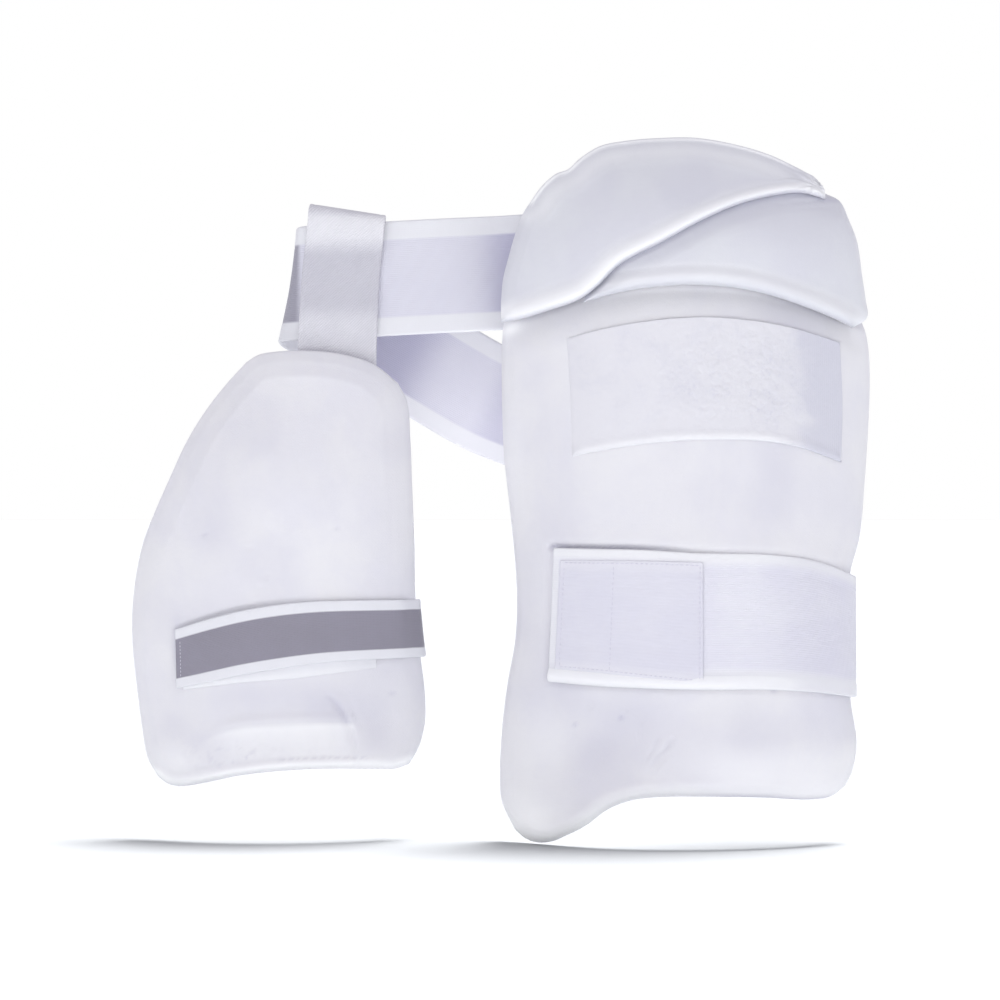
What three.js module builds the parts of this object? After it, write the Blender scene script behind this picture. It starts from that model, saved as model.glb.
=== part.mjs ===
// Combination thigh guard for a batter: an outer thigh pad with a domed hip guard, and an inner
// thigh pad that a webbing loop hangs from the waist belt. Each pad has one elastic thigh strap.
// Millimetres, +Z up. The front of the pads faces -Y and the outer pad is on the +X side.
// The origin is the middle of the waist belt's ring, at the belt's mid height.
import * as THREE from 'three';

// ---------------------------------------------------------------- driving dimensions
const GAP = 0.5;              // clearance kept between neighbouring pieces

const OUTER_CREST_Y = -78;    // frontmost line of the outer pad
const OUTER_CENTRE_X = 72;    // line that the outer pad curves away from on both sides
const OUTER_HALF_WIDTH = 112;
const OUTER_SAG = 50;         // how far its sides lie behind the crest
const OUTER_LEAN = 0.04;      // the foot of the pad stands forward of its top
const OUTER_THICK = 16;
const OUTER_TOP_RECESS = 7;   // the pad thins where the hip guard covers it

const HIP_LIFT = 11;          // the hip guard's front stands this far in front of the pad
const HIP_THICK = 10;
const HIP_DOME = 32;          // how far the dome's crown leans back over its height
const HIP_DOME_HEIGHT = 84;
const HIP_RIDGE = 3.2;        // rolled edge raised above the lobe
const TUCK_THICK = 4;         // the lower lobe thins where it runs under the upper one

const INNER_CREST_Y = -52;
const INNER_CENTRE_X = -175.7;
const INNER_TOP_SHIFT = 27.7; // the crest line moves over towards the narrow top
const INNER_HALF_WIDTH = 92;
const INNER_SAG = 34;
const INNER_TOP_LEAN = 17;    // the top leans back to meet the webbing
const INNER_THICK = 15;

const PANEL_THICK = 1.8;
const TAB_THICK = 1.2;
const END_SLANT = 3.5;        // the outer strap's end is cut at a slant
const STRAP_THICK = 2.0;
const INNER_STRAP_THICK = 1.7;
const BELT_WIDTH = 71;
const BELT_THICK = 2.4;
const WEBBING_THICK = 1.8;

const SAG_POWER = 2.2;        // rounder than a cylinder in the middle, quicker at the sides

// ---------------------------------------------------------------- tables
// Each table has named columns and a row for each section along the edge or path.
const table = (names, rows) => rows.map((row) => Object.fromEntries(names.map((n, i) => [n, row[i]])));

const OUTER_EDGES = {
  left: table(['z', 'x'], [[-337.9, -31.1], [-321.9, -39], [-306.5, -40.3], [-278.7, -39], [-250.9, -35.9],
    [-223.1, -31], [-198.4, -29.8], [-173.7, -31], [-142.8, -34.1], [-108.8, -37.8], [-74.9, -39], [-40.9, -39],
    [-26.7, -37.8], [-14.6, -34.2]]),
  right: table(['z', 'x'], [[-311.1, 170.2], [-301, 175.5], [-284.9, 178.1], [-262, 174.6], [-240, 173],
    [-215, 173], [-190, 173.6], [-178, 175], [-166, 179], [-155.2, 181.5], [-124.3, 184.6], [-93.4, 187], [-65.6, 188.3],
    [-44, 187.6], [-30.4, 184.6], [-14.6, 176.9]]),
  bottom: table(['x', 'z'], [[-31.1, -337.9], [-25, -342.6], [-17.7, -344.6], [-9.1, -343.4], [0, -339.2],
    [11.6, -332.6], [24.4, -322.6], [39, -316.6], [57.3, -314.4], [81.7, -314.2], [118.3, -315.4], [148, -317.8],
    [161, -316.6], [170.2, -311.1]]),
  top: table(['x', 'z'], [[-34.2, -14.6], [-3.7, -9.1], [32.9, -3], [69.5, 0], [106.1, -1.8], [142.7, -7.9],
    [176.9, -14.6]]),
};

// The line of the hip guard's lower rim on the front of the outer pad.
const HIP_RIM = table(['x', 'z'], [[-40.3, -28.3], [-16, -22.8], [8.2, -16.8], [32.4, -10.7], [56.6, -7.4],
  [80.8, -7.1], [105, -8.9], [129.3, -14.3], [153.5, -21.6], [180.1, -31.3]]);

const UPPER_LOBE_EDGES = {
  left: table(['z', 'x'], [[-27.9, -39.7], [-15.3, -39.6], [-1.1, -38.4], [11.2, -35.3], [24.2, -31.6],
    [38.9, -26.1], [46.2, -21.3]]),
  right: table(['z', 'x'], [[46.6, 158], [54, 157.5], [60.9, 151.8]]),
  bottom: table(['x', 'z'], [[-39.7, -27.9], [-28.2, -26.7], [-10.2, -21.9], [7.8, -15.9], [18.6, -8.1],
    [31.8, 4.6], [55.9, 17.2], [79.9, 30.4], [103.9, 41.2], [128, 47.8], [143, 49.6], [158, 46.6]]),
  top: table(['x', 'z'], [[-21.3, 46.2], [-15.2, 54.8], [-6, 62.7], [1.3, 65.2], [8.7, 71.9], [20.9, 79.2],
    [36.2, 82], [57.6, 83.5], [79, 83.5], [106.5, 78.6], [124.9, 73.1], [140.1, 66.4], [151.8, 60.9]]),
};

const LOWER_LOBE_EDGES = {
  left: table(['z', 'x'], [[-17.7, 10.2], [-9.5, 11.8], [-2.2, 15.4]]),
  right: table(['z', 'x'], [[-31.5, 174.8], [-24.5, 185.2], [-13.4, 184], [2, 181.5], [21.7, 178.5],
    [34.6, 173.5], [46.3, 168], [52.3, 157.7]]),
  bottom: table(['x', 'z'], [[10.2, -17.7], [25.8, -13.5], [43.9, -10.2], [67.9, -8.1], [91.9, -8.7],
    [116, -12.3], [140, -18.9], [164, -27], [174.8, -31.5]]),
  top: table(['x', 'z'], [[15.4, -2.2], [32.4, 11.1], [53.6, 25], [80.8, 40.1], [105, 51], [129.3, 57.1],
    [157.7, 52.3]]),
};

const PANEL_EDGES = {
  left: table(['z', 'x'], [[-110.8, 3], [-76.1, 2.1], [-38.7, 0]]),
  right: table(['z', 'x'], [[-113.8, 167.6], [-75.6, 168.6], [-40.5, 167]]),
  bottom: table(['x', 'z'], [[3, -110.8], [19.8, -107.2], [43.9, -103.6], [67.9, -101.2], [91.9, -100.6],
    [116, -101.2], [140, -104.8], [167.6, -113.8]]),
  top: table(['x', 'z'], [[0, -38.7], [19.8, -33.9], [43.9, -29.7], [67.9, -27.3], [91.9, -27], [116, -29.1],
    [140, -33.3], [167, -40.5]]),
};

const INNER_EDGES = {
  left: table(['z', 'x'], [[-307.1, -251.5], [-296.7, -258], [-279.3, -261.7], [-257.6, -264.8], [-232.8, -267.9],
    [-211.1, -269.2], [-186.3, -267.3], [-163.3, -262.4], [-145.9, -255.5], [-125.5, -246.2], [-100, -234.4],
    [-82, -223.3], [-65.3, -210.2], [-51.4, -197.1]]),
  right: table(['z', 'x'], [[-299.7, -96.5], [-289.3, -90.5], [-274.4, -86.8], [-254.5, -87], [-236, -89.2],
    [-215, -91.4], [-195, -92.6], [-164.6, -93], [-130.4, -94.2], [-99.4, -95.5], [-75.8, -97.6], [-64.4, -103.3]]),
  bottom: table(['x', 'z'], [[-251.5, -307.1], [-245.3, -311.2], [-237.3, -312.7], [-222.5, -310.2],
    [-200.8, -305.3], [-176.1, -302.2], [-145.3, -300.9], [-117.5, -301.8], [-105.1, -302.2], [-96.5, -299.7]]),
  top: table(['x', 'z'], [[-197.1, -51.4], [-189.7, -47.1], [-179.2, -45.2], [-157.6, -44.6], [-136, -47.1],
    [-117.5, -53.3], [-103.3, -64.4]]),
};

// Straps on the front of a pad: the upper and lower edge at stations across the pad.
const OUTER_STRAP_FRONT = table(['x', 'top', 'bottom'], [[-10.5, -165.6, -246.4], [20, -166, -248.4],
  [44, -166.4, -249.2], [80, -168.4, -250], [116, -169, -250.2], [140, -171.4, -251.8], [152, -174, -253.2],
  [165, -178.6, -255.2]]);
const OUTER_END_FRONT = table(['x', 'top', 'bottom'], [[-7, -172.8, -238.4], [20, -172.8, -240.2],
  [44, -172.9, -242.7], [81, -174, -246.4]]);
const INNER_STRAP_FRONT = table(['x', 'top', 'bottom'], [[-237.5, -215.9, -251.9], [-223, -211.1, -248.9],
  [-199, -204.4, -243.4], [-174.5, -200.1, -239.1], [-150, -198, -235.8], [-125.7, -197.6, -234.2],
  [-101, -197.6, -233.4]]);
const INNER_TAB_FRONT = table(['x', 'top', 'bottom'], [[-233.5, -220, -252.6], [-199, -210, -248],
  [-162, -204, -244.8], [-138, -202, -241.8], [-116, -202, -239.4]]);

// The straps' hidden run, seen from above: round the pad's right edge, behind the thigh, and onto
// the back of the pad's left edge, where the far end is sewn. y is measured from the pad's lean.
const OUTER_STRAP_WRAP = table(['x', 'y', 'top', 'bottom'], [[171.2, -39.6, -181.4, -256.4],
  [175, -32.6, -183, -257], [176.2, -24, -183.8, -257.4], [176.2, -14, -184.2, -257.6],
  [174.2, 4, -184.6, -257.6], [167, 28, -185, -257], [149, 50, -184, -256], [118, 67, -182, -254],
  [78, 74, -180, -252], [40, 69, -178, -250], [8, 55, -176, -248], [-14, 36, -174, -246],
  [-24, 15, -173, -245], [-25.6, -3, -172.5, -244.5], [-21.6, -17.6, -172, -244], [-13.5, -29.2, -172, -244],
  [-4, -36.8, -172, -244], [9, -44.2, -172, -244]]);
const INNER_STRAP_WRAP = table(['x', 'y', 'top', 'bottom'], [[-94.4, -25.4, -197.8, -233.4],
  [-89.8, -20, -198, -233.6], [-88.4, -13, -198.2, -233.8], [-88.2, -5, -198.4, -234], [-90, 8, -199, -235],
  [-97, 27, -200, -236], [-112, 44, -201, -237], [-138, 57, -203, -239], [-170, 62, -205, -241],
  [-202, 58, -207, -243], [-229, 46, -209, -245], [-248, 29, -210, -246], [-258, 12, -211, -247],
  [-259.5, 0, -211.5, -247.5], [-256.4, -6, -212, -248], [-249, -11.6, -212, -248], [-240, -17.2, -212, -248],
  [-226, -24.2, -212, -248]]);

// The waist belt's centre line, once round. lean is the tilt of its width in the front view, in degrees:
// the rear stretch hangs down in the middle, so the belt turns over at a slant on each side.
const BELT_PATH = table(['x', 'y', 'z', 'lean'], [[72, -58.6, 5, 0], [30, -50, 5, 0], [-8, -29, 5, 1],
  [-38, -9.6, 4.4, 2], [-70, -10.6, 2.8, 3], [-110, -11.2, 0.6, 3], [-138, -11.2, -1, 2], [-160, -10.6, -2, 2],
  [-168.2, -4, -2.4, 6], [-171, 14, -2.6, 11], [-170.2, 34, -3.6, 14], [-163.5, 53, -7.5, 19], [-143, 66, -17, 26],
  [-99, 71, -42, 29], [-39, 73, -75.5, 27], [0, 74, -86, 0], [39, 73, -75.5, -27], [99, 71, -40, -28],
  [143, 64, -14, -22], [165, 46, -2, -14], [173, 22, 2.5, -8], [170, -2, 4, -4], [161, -18, 5, -1],
  [142, -34, 5, 0], [114, -51, 5, 0]]);

// The hanging loop seen from the side, once round the belt's front stretch, with the place of its
// left and right edge at each height. rise is how much its left edge stands higher than its middle.
const LOOP_PATH = table(['y', 'z', 'left', 'right', 'rise'], [[-13.5, -66, -165.5, -117, 0], [-13.5, -45, -165.5, -117, 0],
  [-13.5, -20, -164.6, -116, 0], [-13.5, 5, -163, -114.6, 0], [-13.6, 26, -160.6, -112.6, 2], [-13.4, 38, -159, -111.6, 2.8],
  [-11.6, 41.6, -158.4, -111.2, 3.6], [-8.6, 41.6, -158.4, -111.2, 3.6], [-5.6, 38, -159, -111.6, 2.8], [-5.2, 26, -160.6, -112.6, 2],
  [-5, 5, -163, -114.6, 0], [-5.2, -20, -164.6, -116, 0], [-6.6, -45, -165.5, -117, 0], [-8.4, -66, -165.5, -117, 0],
  [-11, -69.6, -165.5, -117, 0]]);

// ---------------------------------------------------------------- helpers
const clamp01 = (t) => Math.min(1, Math.max(0, t));
const smooth = (t) => { const c = clamp01(t); return c * c * (3 - 2 * c); };
const lerp = (a, b, t) => a + (b - a) * t;

// Value of a column at a given place along another, straight between rows.
function lookup(rows, at, from, want) {
  if (at <= rows[0][from]) return rows[0][want];
  for (let i = 1; i < rows.length; i += 1) {
    if (at <= rows[i][from]) {
      return lerp(rows[i - 1][want], rows[i][want], (at - rows[i - 1][from]) / (rows[i][from] - rows[i - 1][from]));
    }
  }
  return rows[rows.length - 1][want];
}

// A smooth curve through an edge table, in the front view.
const edgeCurve = (rows) => new THREE.CatmullRomCurve3(rows.map((r) => new THREE.Vector3(r.x, 0, r.z)),
  false, 'centripetal');

// Share of full thickness at a distance in from a rounded edge.
const roundEdge = (s, radius, power = 2) => {
  const q = clamp01(s / radius);
  return (1 - (1 - q) ** power) ** (1 / power);
};

// Stations from one edge to the other, closer together on the rounded rims.
function stations(length, rim, middle, shares = [0, 0.07, 0.28, 0.62, 1]) {
  const near = shares.map((f) => (f * rim) / length);
  const last = near[near.length - 1];
  const inner = Array.from({ length: middle - 1 }, (_, i) => lerp(last, 1 - last, (i + 1) / middle));
  return [...near, ...inner, ...near.map((f) => 1 - f).reverse()];
}

function meshFrom(name, positions, triangles, look) {
  const geometry = new THREE.BufferGeometry();
  geometry.setAttribute('position', new THREE.Float32BufferAttribute(positions, 3));
  geometry.setIndex(triangles);
  geometry.computeVertexNormals();
  const mesh = new THREE.Mesh(geometry, new THREE.MeshStandardMaterial({ metalness: 0, ...look }));
  mesh.name = name;
  return mesh;
}

// A moulded panel: its outline from four edge tables, its front from a surface function, and a
// rim that closes in a rounded edge.
function mouldedPanel({ name, edges, front, thick, bevel, backRound, edgePlace, power = 2, across, up, rimShares, look }) {
  const curves = Object.fromEntries(Object.entries(edges).map(([side, rows]) => [side, edgeCurve(rows)]));
  const width = curves.bottom.getLength() * 0.5 + curves.top.getLength() * 0.5;
  const height = curves.left.getLength() * 0.5 + curves.right.getLength() * 0.5;
  const us = stations(width, bevel, across, rimShares);
  const vs = stations(height, bevel, up, rimShares);
  const P00 = curves.bottom.getPointAt(0), P10 = curves.bottom.getPointAt(1);
  const P01 = curves.top.getPointAt(0), P11 = curves.top.getPointAt(1);
  const positions = [];
  const index = { front: [], back: [] };
  vs.forEach((v, j) => us.forEach((u, i) => {
    const B = curves.bottom.getPointAt(u), T = curves.top.getPointAt(u);
    const L = curves.left.getPointAt(v), R = curves.right.getPointAt(v);
    const point = (key) => lerp(B[key], T[key], v) + lerp(L[key], R[key], u)
      - (1 - u) * (1 - v) * P00[key] - u * (1 - v) * P10[key] - (1 - u) * v * P01[key] - u * v * P11[key];
    const x = point('x'), z = point('z');
    const sides = [u * width, (1 - u) * width, v * height, (1 - v) * height];
    const inFront = sides.reduce((h, s) => h * roundEdge(s, bevel, power), 1);
    const inBack = sides.reduce((h, s) => h * roundEdge(s, backRound), 1);
    const place = { x, z, fromBottom: v * height };
    const depth = thick(place);
    const yFront = front(place);
    const yEdge = yFront + edgePlace * depth;
    const onEdge = i === 0 || j === 0 || i === us.length - 1 || j === vs.length - 1;
    const id = positions.length / 3;
    positions.push(x, lerp(yEdge, yFront, inFront), z);
    index.front.push(id);
    if (onEdge) { index.back.push(id); return; }
    positions.push(x, lerp(yEdge, yFront + depth, inBack), z);
    index.back.push(id + 1);
  }));
  const n = us.length;
  const triangles = [];
  for (let j = 0; j < vs.length - 1; j += 1) {
    for (let i = 0; i < n - 1; i += 1) {
      const cell = [j * n + i, j * n + i + 1, (j + 1) * n + i + 1, (j + 1) * n + i];
      const [a, b, c, d] = cell.map((k) => index.front[k]);
      const [p, q, r, s] = cell.map((k) => index.back[k]);
      const flip = (i < n / 2) === (j < vs.length / 2);
      if (flip) { triangles.push(a, b, c, a, c, d); triangles.push(p, r, q, p, s, r); }
      else { triangles.push(a, b, d, b, c, d); triangles.push(p, s, q, q, s, r); }
    }
  }
  return meshFrom(name, positions, triangles, look);
}

// A strap or sheet: rows of points on its inner face, thickened outwards.
function band({ name, rows, thick, closed, outward, centred = false, look }) {
  const n = rows.length, m = rows[0].length;
  const positions = [];
  rows.forEach((row, i) => row.forEach((p, j) => {
    const before = rows[closed ? (i + n - 1) % n : Math.max(0, i - 1)][j];
    const after = rows[closed ? (i + 1) % n : Math.min(n - 1, i + 1)][j];
    const along = after.clone().sub(before);
    const wide = row[Math.min(m - 1, j + 1)].clone().sub(row[Math.max(0, j - 1)]);
    const normal = along.cross(wide).normalize().multiplyScalar(outward * thick);
    const inside = centred ? p.clone().addScaledVector(normal, -0.5) : p;
    positions.push(...inside.toArray(), ...inside.clone().add(normal).toArray());
  }));
  const inner = (i, j) => 2 * ((i % n) * m + j), outer = (i, j) => inner(i, j) + 1;
  const triangles = [];
  const quad = (a, b, c, d) => (outward > 0 ? triangles.push(a, b, c, a, c, d) : triangles.push(a, c, b, a, d, c));
  for (let i = 0; i < (closed ? n : n - 1); i += 1) {
    for (let j = 0; j < m - 1; j += 1) {
      quad(outer(i, j), outer(i + 1, j), outer(i + 1, j + 1), outer(i, j + 1));
      quad(inner(i, j), inner(i, j + 1), inner(i + 1, j + 1), inner(i + 1, j));
    }
    quad(inner(i, 0), inner(i + 1, 0), outer(i + 1, 0), outer(i, 0));
    quad(outer(i, m - 1), outer(i + 1, m - 1), inner(i + 1, m - 1), inner(i, m - 1));
  }
  if (!closed) {
    for (let j = 0; j < m - 1; j += 1) {
      quad(inner(0, j), outer(0, j), outer(0, j + 1), inner(0, j + 1));
      quad(outer(n - 1, j), inner(n - 1, j), inner(n - 1, j + 1), outer(n - 1, j + 1));
    }
  }
  return meshFrom(name, positions, triangles, look);
}

// Points between two edge curves, closer where the rows are closer.
function ribbonRows(edgeA, edgeB, closed, step, columns) {
  const a = new THREE.CatmullRomCurve3(edgeA, closed, 'centripetal');
  const b = new THREE.CatmullRomCurve3(edgeB, closed, 'centripetal');
  const spans = closed ? edgeA.length : edgeA.length - 1;
  const rows = [];
  for (let k = 0; k < spans; k += 1) {
    const length = edgeA[k].distanceTo(edgeA[(k + 1) % edgeA.length]);
    const parts = Math.max(1, Math.round(length / step));
    for (let q = 0; q < parts; q += 1) rows.push((k + q / parts) / spans);
  }
  if (!closed) rows.push(1);
  return rows.map((t) => {
    const A = a.getPoint(t), B = b.getPoint(t);
    return Array.from({ length: columns + 1 }, (_, j) => A.clone().lerp(B, j / columns));
  });
}

// ---------------------------------------------------------------- surfaces
const outerSurface = (x, z) => OUTER_CREST_Y + OUTER_LEAN * Math.min(z, 0)
  + OUTER_SAG * (Math.abs(x - OUTER_CENTRE_X) / OUTER_HALF_WIDTH) ** SAG_POWER;

const topRecess = (x, z) => OUTER_TOP_RECESS * smooth((z - lookup(HIP_RIM, x, 'x', 'z') + 7) / 8);

const hipSurface = (x, z) => outerSurface(x, z) - HIP_LIFT
  + HIP_DOME * (Math.max(0, z) / HIP_DOME_HEIGHT) ** 1.8;

// Distance below the crease where the upper lobe ends; negative under the upper lobe.
const belowCrease = (x, z) => (lookup(UPPER_LOBE_EDGES.bottom, x, 'x', 'z') - z) * 0.88;

const innerSurface = (x, z) => {
  const rise = clamp01((z + 230) / 170);
  const centre = INNER_CENTRE_X + INNER_TOP_SHIFT * rise;
  return INNER_CREST_Y + INNER_SAG * (Math.abs(x - centre) / INNER_HALF_WIDTH) ** SAG_POWER
    + INNER_TOP_LEAN * smooth((z + 140) / 95);
};

const ridge = (s, at, width) => Math.exp(-(((s - at) / width) ** 2));

// Rows of a strap's inner face on the front of a pad. slant moves the upper corner of the sewn end.
function frontRows(rows, surface, lift, step, columns, slant = 0) {
  const from = rows[0].x, to = rows[rows.length - 1].x;
  const count = Math.round((to - from) / step);
  return Array.from({ length: count + 1 }, (_, i) => {
    const along = lerp(from, to, i / count);
    const shift = slant * Math.max(0, 1 - i / 3);
    const top = lookup(rows, along, 'x', 'top'), bottom = lookup(rows, along, 'x', 'bottom');
    return Array.from({ length: columns + 1 }, (__, j) => {
      const z = lerp(bottom, top, j / columns);
      const x = along + (shift * j) / columns;
      return new THREE.Vector3(x, surface(x, z) - lift(x), z);
    });
  });
}

function strapRows(frontTable, wrapTable, surface, lean, lift, slant) {
  const columns = 2;
  const front = frontRows(frontTable, surface, lift, 12, columns, slant);
  const last = front[front.length - 1];
  const edge = (key, j) => [last[j], ...wrapTable.map((r) => new THREE.Vector3(r.x, r.y + lean * r[key], r[key]))];
  const wrap = ribbonRows(edge('bottom', 0), edge('top', columns), false, 11, columns);
  return [...front, ...wrap.slice(1)];
}

// ---------------------------------------------------------------- pieces
const guard = new THREE.Group();

guard.add(mouldedPanel({
  name: 'outer_pad', edges: OUTER_EDGES, bevel: 10, backRound: 5, edgePlace: 0.5, across: 9, up: 14,
  front: ({ x, z }) => outerSurface(x, z) + topRecess(x, z),
  thick: ({ x, z }) => OUTER_THICK - topRecess(x, z),
  look: { color: 0xe4e4ee, roughness: 0.75 },
}));

guard.add(mouldedPanel({
  name: 'hip_guard_upper', edges: UPPER_LOBE_EDGES, bevel: 9, backRound: 3, edgePlace: 0.55, across: 12, up: 5,
  front: ({ x, z, fromBottom }) => hipSurface(x, z) - 1.2 * (1 - smooth(fromBottom / 12))
    - HIP_RIDGE * ridge(fromBottom, 6, 3.5),
  thick: ({ fromBottom }) => 5.5 + HIP_RIDGE * ridge(fromBottom, 6, 3.5) + (HIP_THICK - 5.5) * smooth((fromBottom - 2) / 14),
  look: { color: 0xdedfea, roughness: 0.6 },
}));

guard.add(mouldedPanel({
  name: 'hip_guard_lower', edges: LOWER_LOBE_EDGES, bevel: 6, backRound: 3, edgePlace: 0.55, across: 11, up: 6,
  front: ({ x, z, fromBottom }) => {
    const d = belowCrease(x, z);
    return hipSurface(x, z) + 3.6 * (1 - smooth(d / 12)) + 8.8 * smooth(-d / 5)
      - 0.8 * HIP_RIDGE * ridge(fromBottom, 6, 3.5) * smooth(d / 12);
  },
  thick: ({ x, z }) => TUCK_THICK + (HIP_THICK - TUCK_THICK) * smooth((belowCrease(x, z) - 1) / 11),
  look: { color: 0xdcdde9, roughness: 0.6 },
}));

guard.add(mouldedPanel({
  name: 'loop_panel', edges: PANEL_EDGES, bevel: 0.8, backRound: 0.6, edgePlace: 0.6, across: 13, up: 5,
  rimShares: [0, 0.4, 1],
  front: ({ x, z }) => outerSurface(x, z) - GAP - PANEL_THICK,
  thick: () => PANEL_THICK,
  look: { color: 0xe3e2ee, roughness: 0.95 },
}));

guard.add(band({
  name: 'outer_strap_end', thick: TAB_THICK, closed: false, outward: 1,
  rows: frontRows(OUTER_END_FRONT, outerSurface, () => GAP + STRAP_THICK + 1.6 * GAP, 12, 2, END_SLANT),
  look: { color: 0xe9e8f0, roughness: 0.85 },
}));

guard.add(band({
  name: 'outer_strap', thick: STRAP_THICK, closed: false, outward: 1,
  rows: strapRows(OUTER_STRAP_FRONT, OUTER_STRAP_WRAP, outerSurface, OUTER_LEAN, () => GAP, END_SLANT),
  look: { color: 0xdedeed, roughness: 0.8 },
}));

guard.add(mouldedPanel({
  name: 'inner_pad', edges: INNER_EDGES, bevel: 11, backRound: 5, edgePlace: 0.6, power: 1.7, across: 8, up: 10,
  front: ({ x, z }) => innerSurface(x, z),
  thick: () => INNER_THICK,
  look: { color: 0xe4e4ec, roughness: 0.7 },
}));

guard.add(band({
  name: 'inner_tab', thick: TAB_THICK, closed: false, outward: 1,
  rows: frontRows(INNER_TAB_FRONT, innerSurface, () => GAP, 12, 2),
  look: { color: 0xe9e8f0, roughness: 0.85 },
}));

const overInnerTab = () => GAP + TAB_THICK + GAP;
guard.add(band({
  name: 'inner_strap', thick: INNER_STRAP_THICK, closed: false, outward: 1,
  rows: strapRows(INNER_STRAP_FRONT, INNER_STRAP_WRAP, innerSurface, 0, overInnerTab, -1),
  look: { color: 0x908d9d, roughness: 0.8 },
}));

// The belt's edges stand half its width each way along its lean, square to its own direction.
const beltCentre = new THREE.CatmullRomCurve3(BELT_PATH.map((r) => new THREE.Vector3(r.x, r.y, r.z)), true,
  'centripetal');
const beltEdge = (side) => BELT_PATH.map((r, i) => {
  const along = beltCentre.getTangent(i / BELT_PATH.length);
  const lean = THREE.MathUtils.degToRad(r.lean);
  const wide = new THREE.Vector3(Math.sin(lean), 0, Math.cos(lean));
  wide.addScaledVector(along, -wide.dot(along)).normalize();
  return new THREE.Vector3(r.x, r.y, r.z).addScaledVector(wide, (side * BELT_WIDTH) / 2);
});
guard.add(band({
  name: 'waist_belt', thick: BELT_THICK, closed: true, outward: -1, centred: true,
  rows: ribbonRows(beltEdge(-1), beltEdge(1), true, 13, 2),
  look: { color: 0xd8d7e8, roughness: 0.8 },
}));

const loopEdge = (key, side) => LOOP_PATH.map((r) => new THREE.Vector3(r[key], r.y, r.z + side * r.rise));
guard.add(band({
  name: 'hanging_loop', thick: WEBBING_THICK, closed: true, outward: -1,
  rows: ribbonRows(loopEdge('left', 1), loopEdge('right', -1), true, 14, 2),
  look: { color: 0xd0ceda, roughness: 0.85 },
}));

export default guard;
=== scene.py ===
import math

import bpy
import numpy as np
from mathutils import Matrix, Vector


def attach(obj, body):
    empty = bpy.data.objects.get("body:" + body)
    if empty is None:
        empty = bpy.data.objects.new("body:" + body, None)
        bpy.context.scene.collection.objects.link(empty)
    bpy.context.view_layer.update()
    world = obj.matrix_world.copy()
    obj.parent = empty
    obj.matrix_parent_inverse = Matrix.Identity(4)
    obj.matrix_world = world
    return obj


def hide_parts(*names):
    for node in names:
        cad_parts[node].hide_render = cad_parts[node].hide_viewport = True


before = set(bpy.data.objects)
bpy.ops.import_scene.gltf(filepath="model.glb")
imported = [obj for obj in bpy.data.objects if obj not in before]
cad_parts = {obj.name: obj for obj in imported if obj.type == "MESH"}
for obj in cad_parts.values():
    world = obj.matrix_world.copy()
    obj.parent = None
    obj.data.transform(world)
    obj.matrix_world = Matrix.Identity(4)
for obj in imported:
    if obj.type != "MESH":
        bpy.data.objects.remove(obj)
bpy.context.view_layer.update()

# A combination thigh guard: outer thigh pad with a domed hip guard, inner thigh pad on a webbing
# loop, waist belt and two thigh straps. Work is in millimetres and is scaled to metres at the end.
MM = 0.001
BODY = "root"
scene = bpy.context.scene
rng = np.random.default_rng(7)

# ------------------------------------------------------------------ camera
CAM_X, CAM_Z = -40.26, -136.64      # level camera, opposite the middle of the picture
CAM_DISTANCE = 2000.0               # from the fronts of the pads
FRONT_Y = -45.0
MM_PER_PIXEL = 0.61                 # at FRONT_Y, in a picture 1000 pixels wide

camera_data = bpy.data.cameras.new("camera")
camera_data.sensor_width = 36.0
camera_data.lens = 36.0 * CAM_DISTANCE / (1000 * MM_PER_PIXEL)
camera_data.clip_end = 50.0
camera = bpy.data.objects.new("camera", camera_data)
camera.location = (CAM_X * MM, (FRONT_Y - CAM_DISTANCE) * MM, CAM_Z * MM)
camera.rotation_euler = (math.radians(90), 0, 0)
scene.collection.objects.link(camera)
scene.camera = camera


def at(px, py, y=FRONT_Y):
    """The x and z in mm of a place in the picture, at a depth y."""
    k = MM_PER_PIXEL * (CAM_DISTANCE + y - FRONT_Y) / CAM_DISTANCE
    return CAM_X + (px - 500) * k, CAM_Z + (500 - py) * k


def line(points, y=FRONT_Y):
    return np.array([at(px, py, y) for px, py in points])


# ------------------------------------------------------------------ sizes, as in the frame
GAP = 0.5
OUTER_CREST_Y, OUTER_CENTRE_X, OUTER_HALF_WIDTH, OUTER_SAG, OUTER_LEAN = -78, 72, 112, 50, 0.04
OUTER_THICK, OUTER_TOP_RECESS = 16, 7
HIP_LIFT, HIP_THICK, HIP_DOME, HIP_DOME_HEIGHT, HIP_RIDGE, TUCK_THICK = 11, 10, 32, 84, 3.2, 4
INNER_CREST_Y, INNER_CENTRE_X, INNER_TOP_SHIFT, INNER_HALF_WIDTH, INNER_SAG = -52, -175.7, 27.7, 92, 34
INNER_TOP_LEAN, INNER_THICK = 17, 15
PANEL_THICK, TAB_THICK, END_SLANT = 1.8, 1.2, 3.5
STRAP_THICK, INNER_STRAP_THICK, BELT_WIDTH, BELT_THICK, WEBBING_THICK = 2.0, 1.7, 71, 2.4, 1.8
SAG_POWER = 2.2

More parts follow.
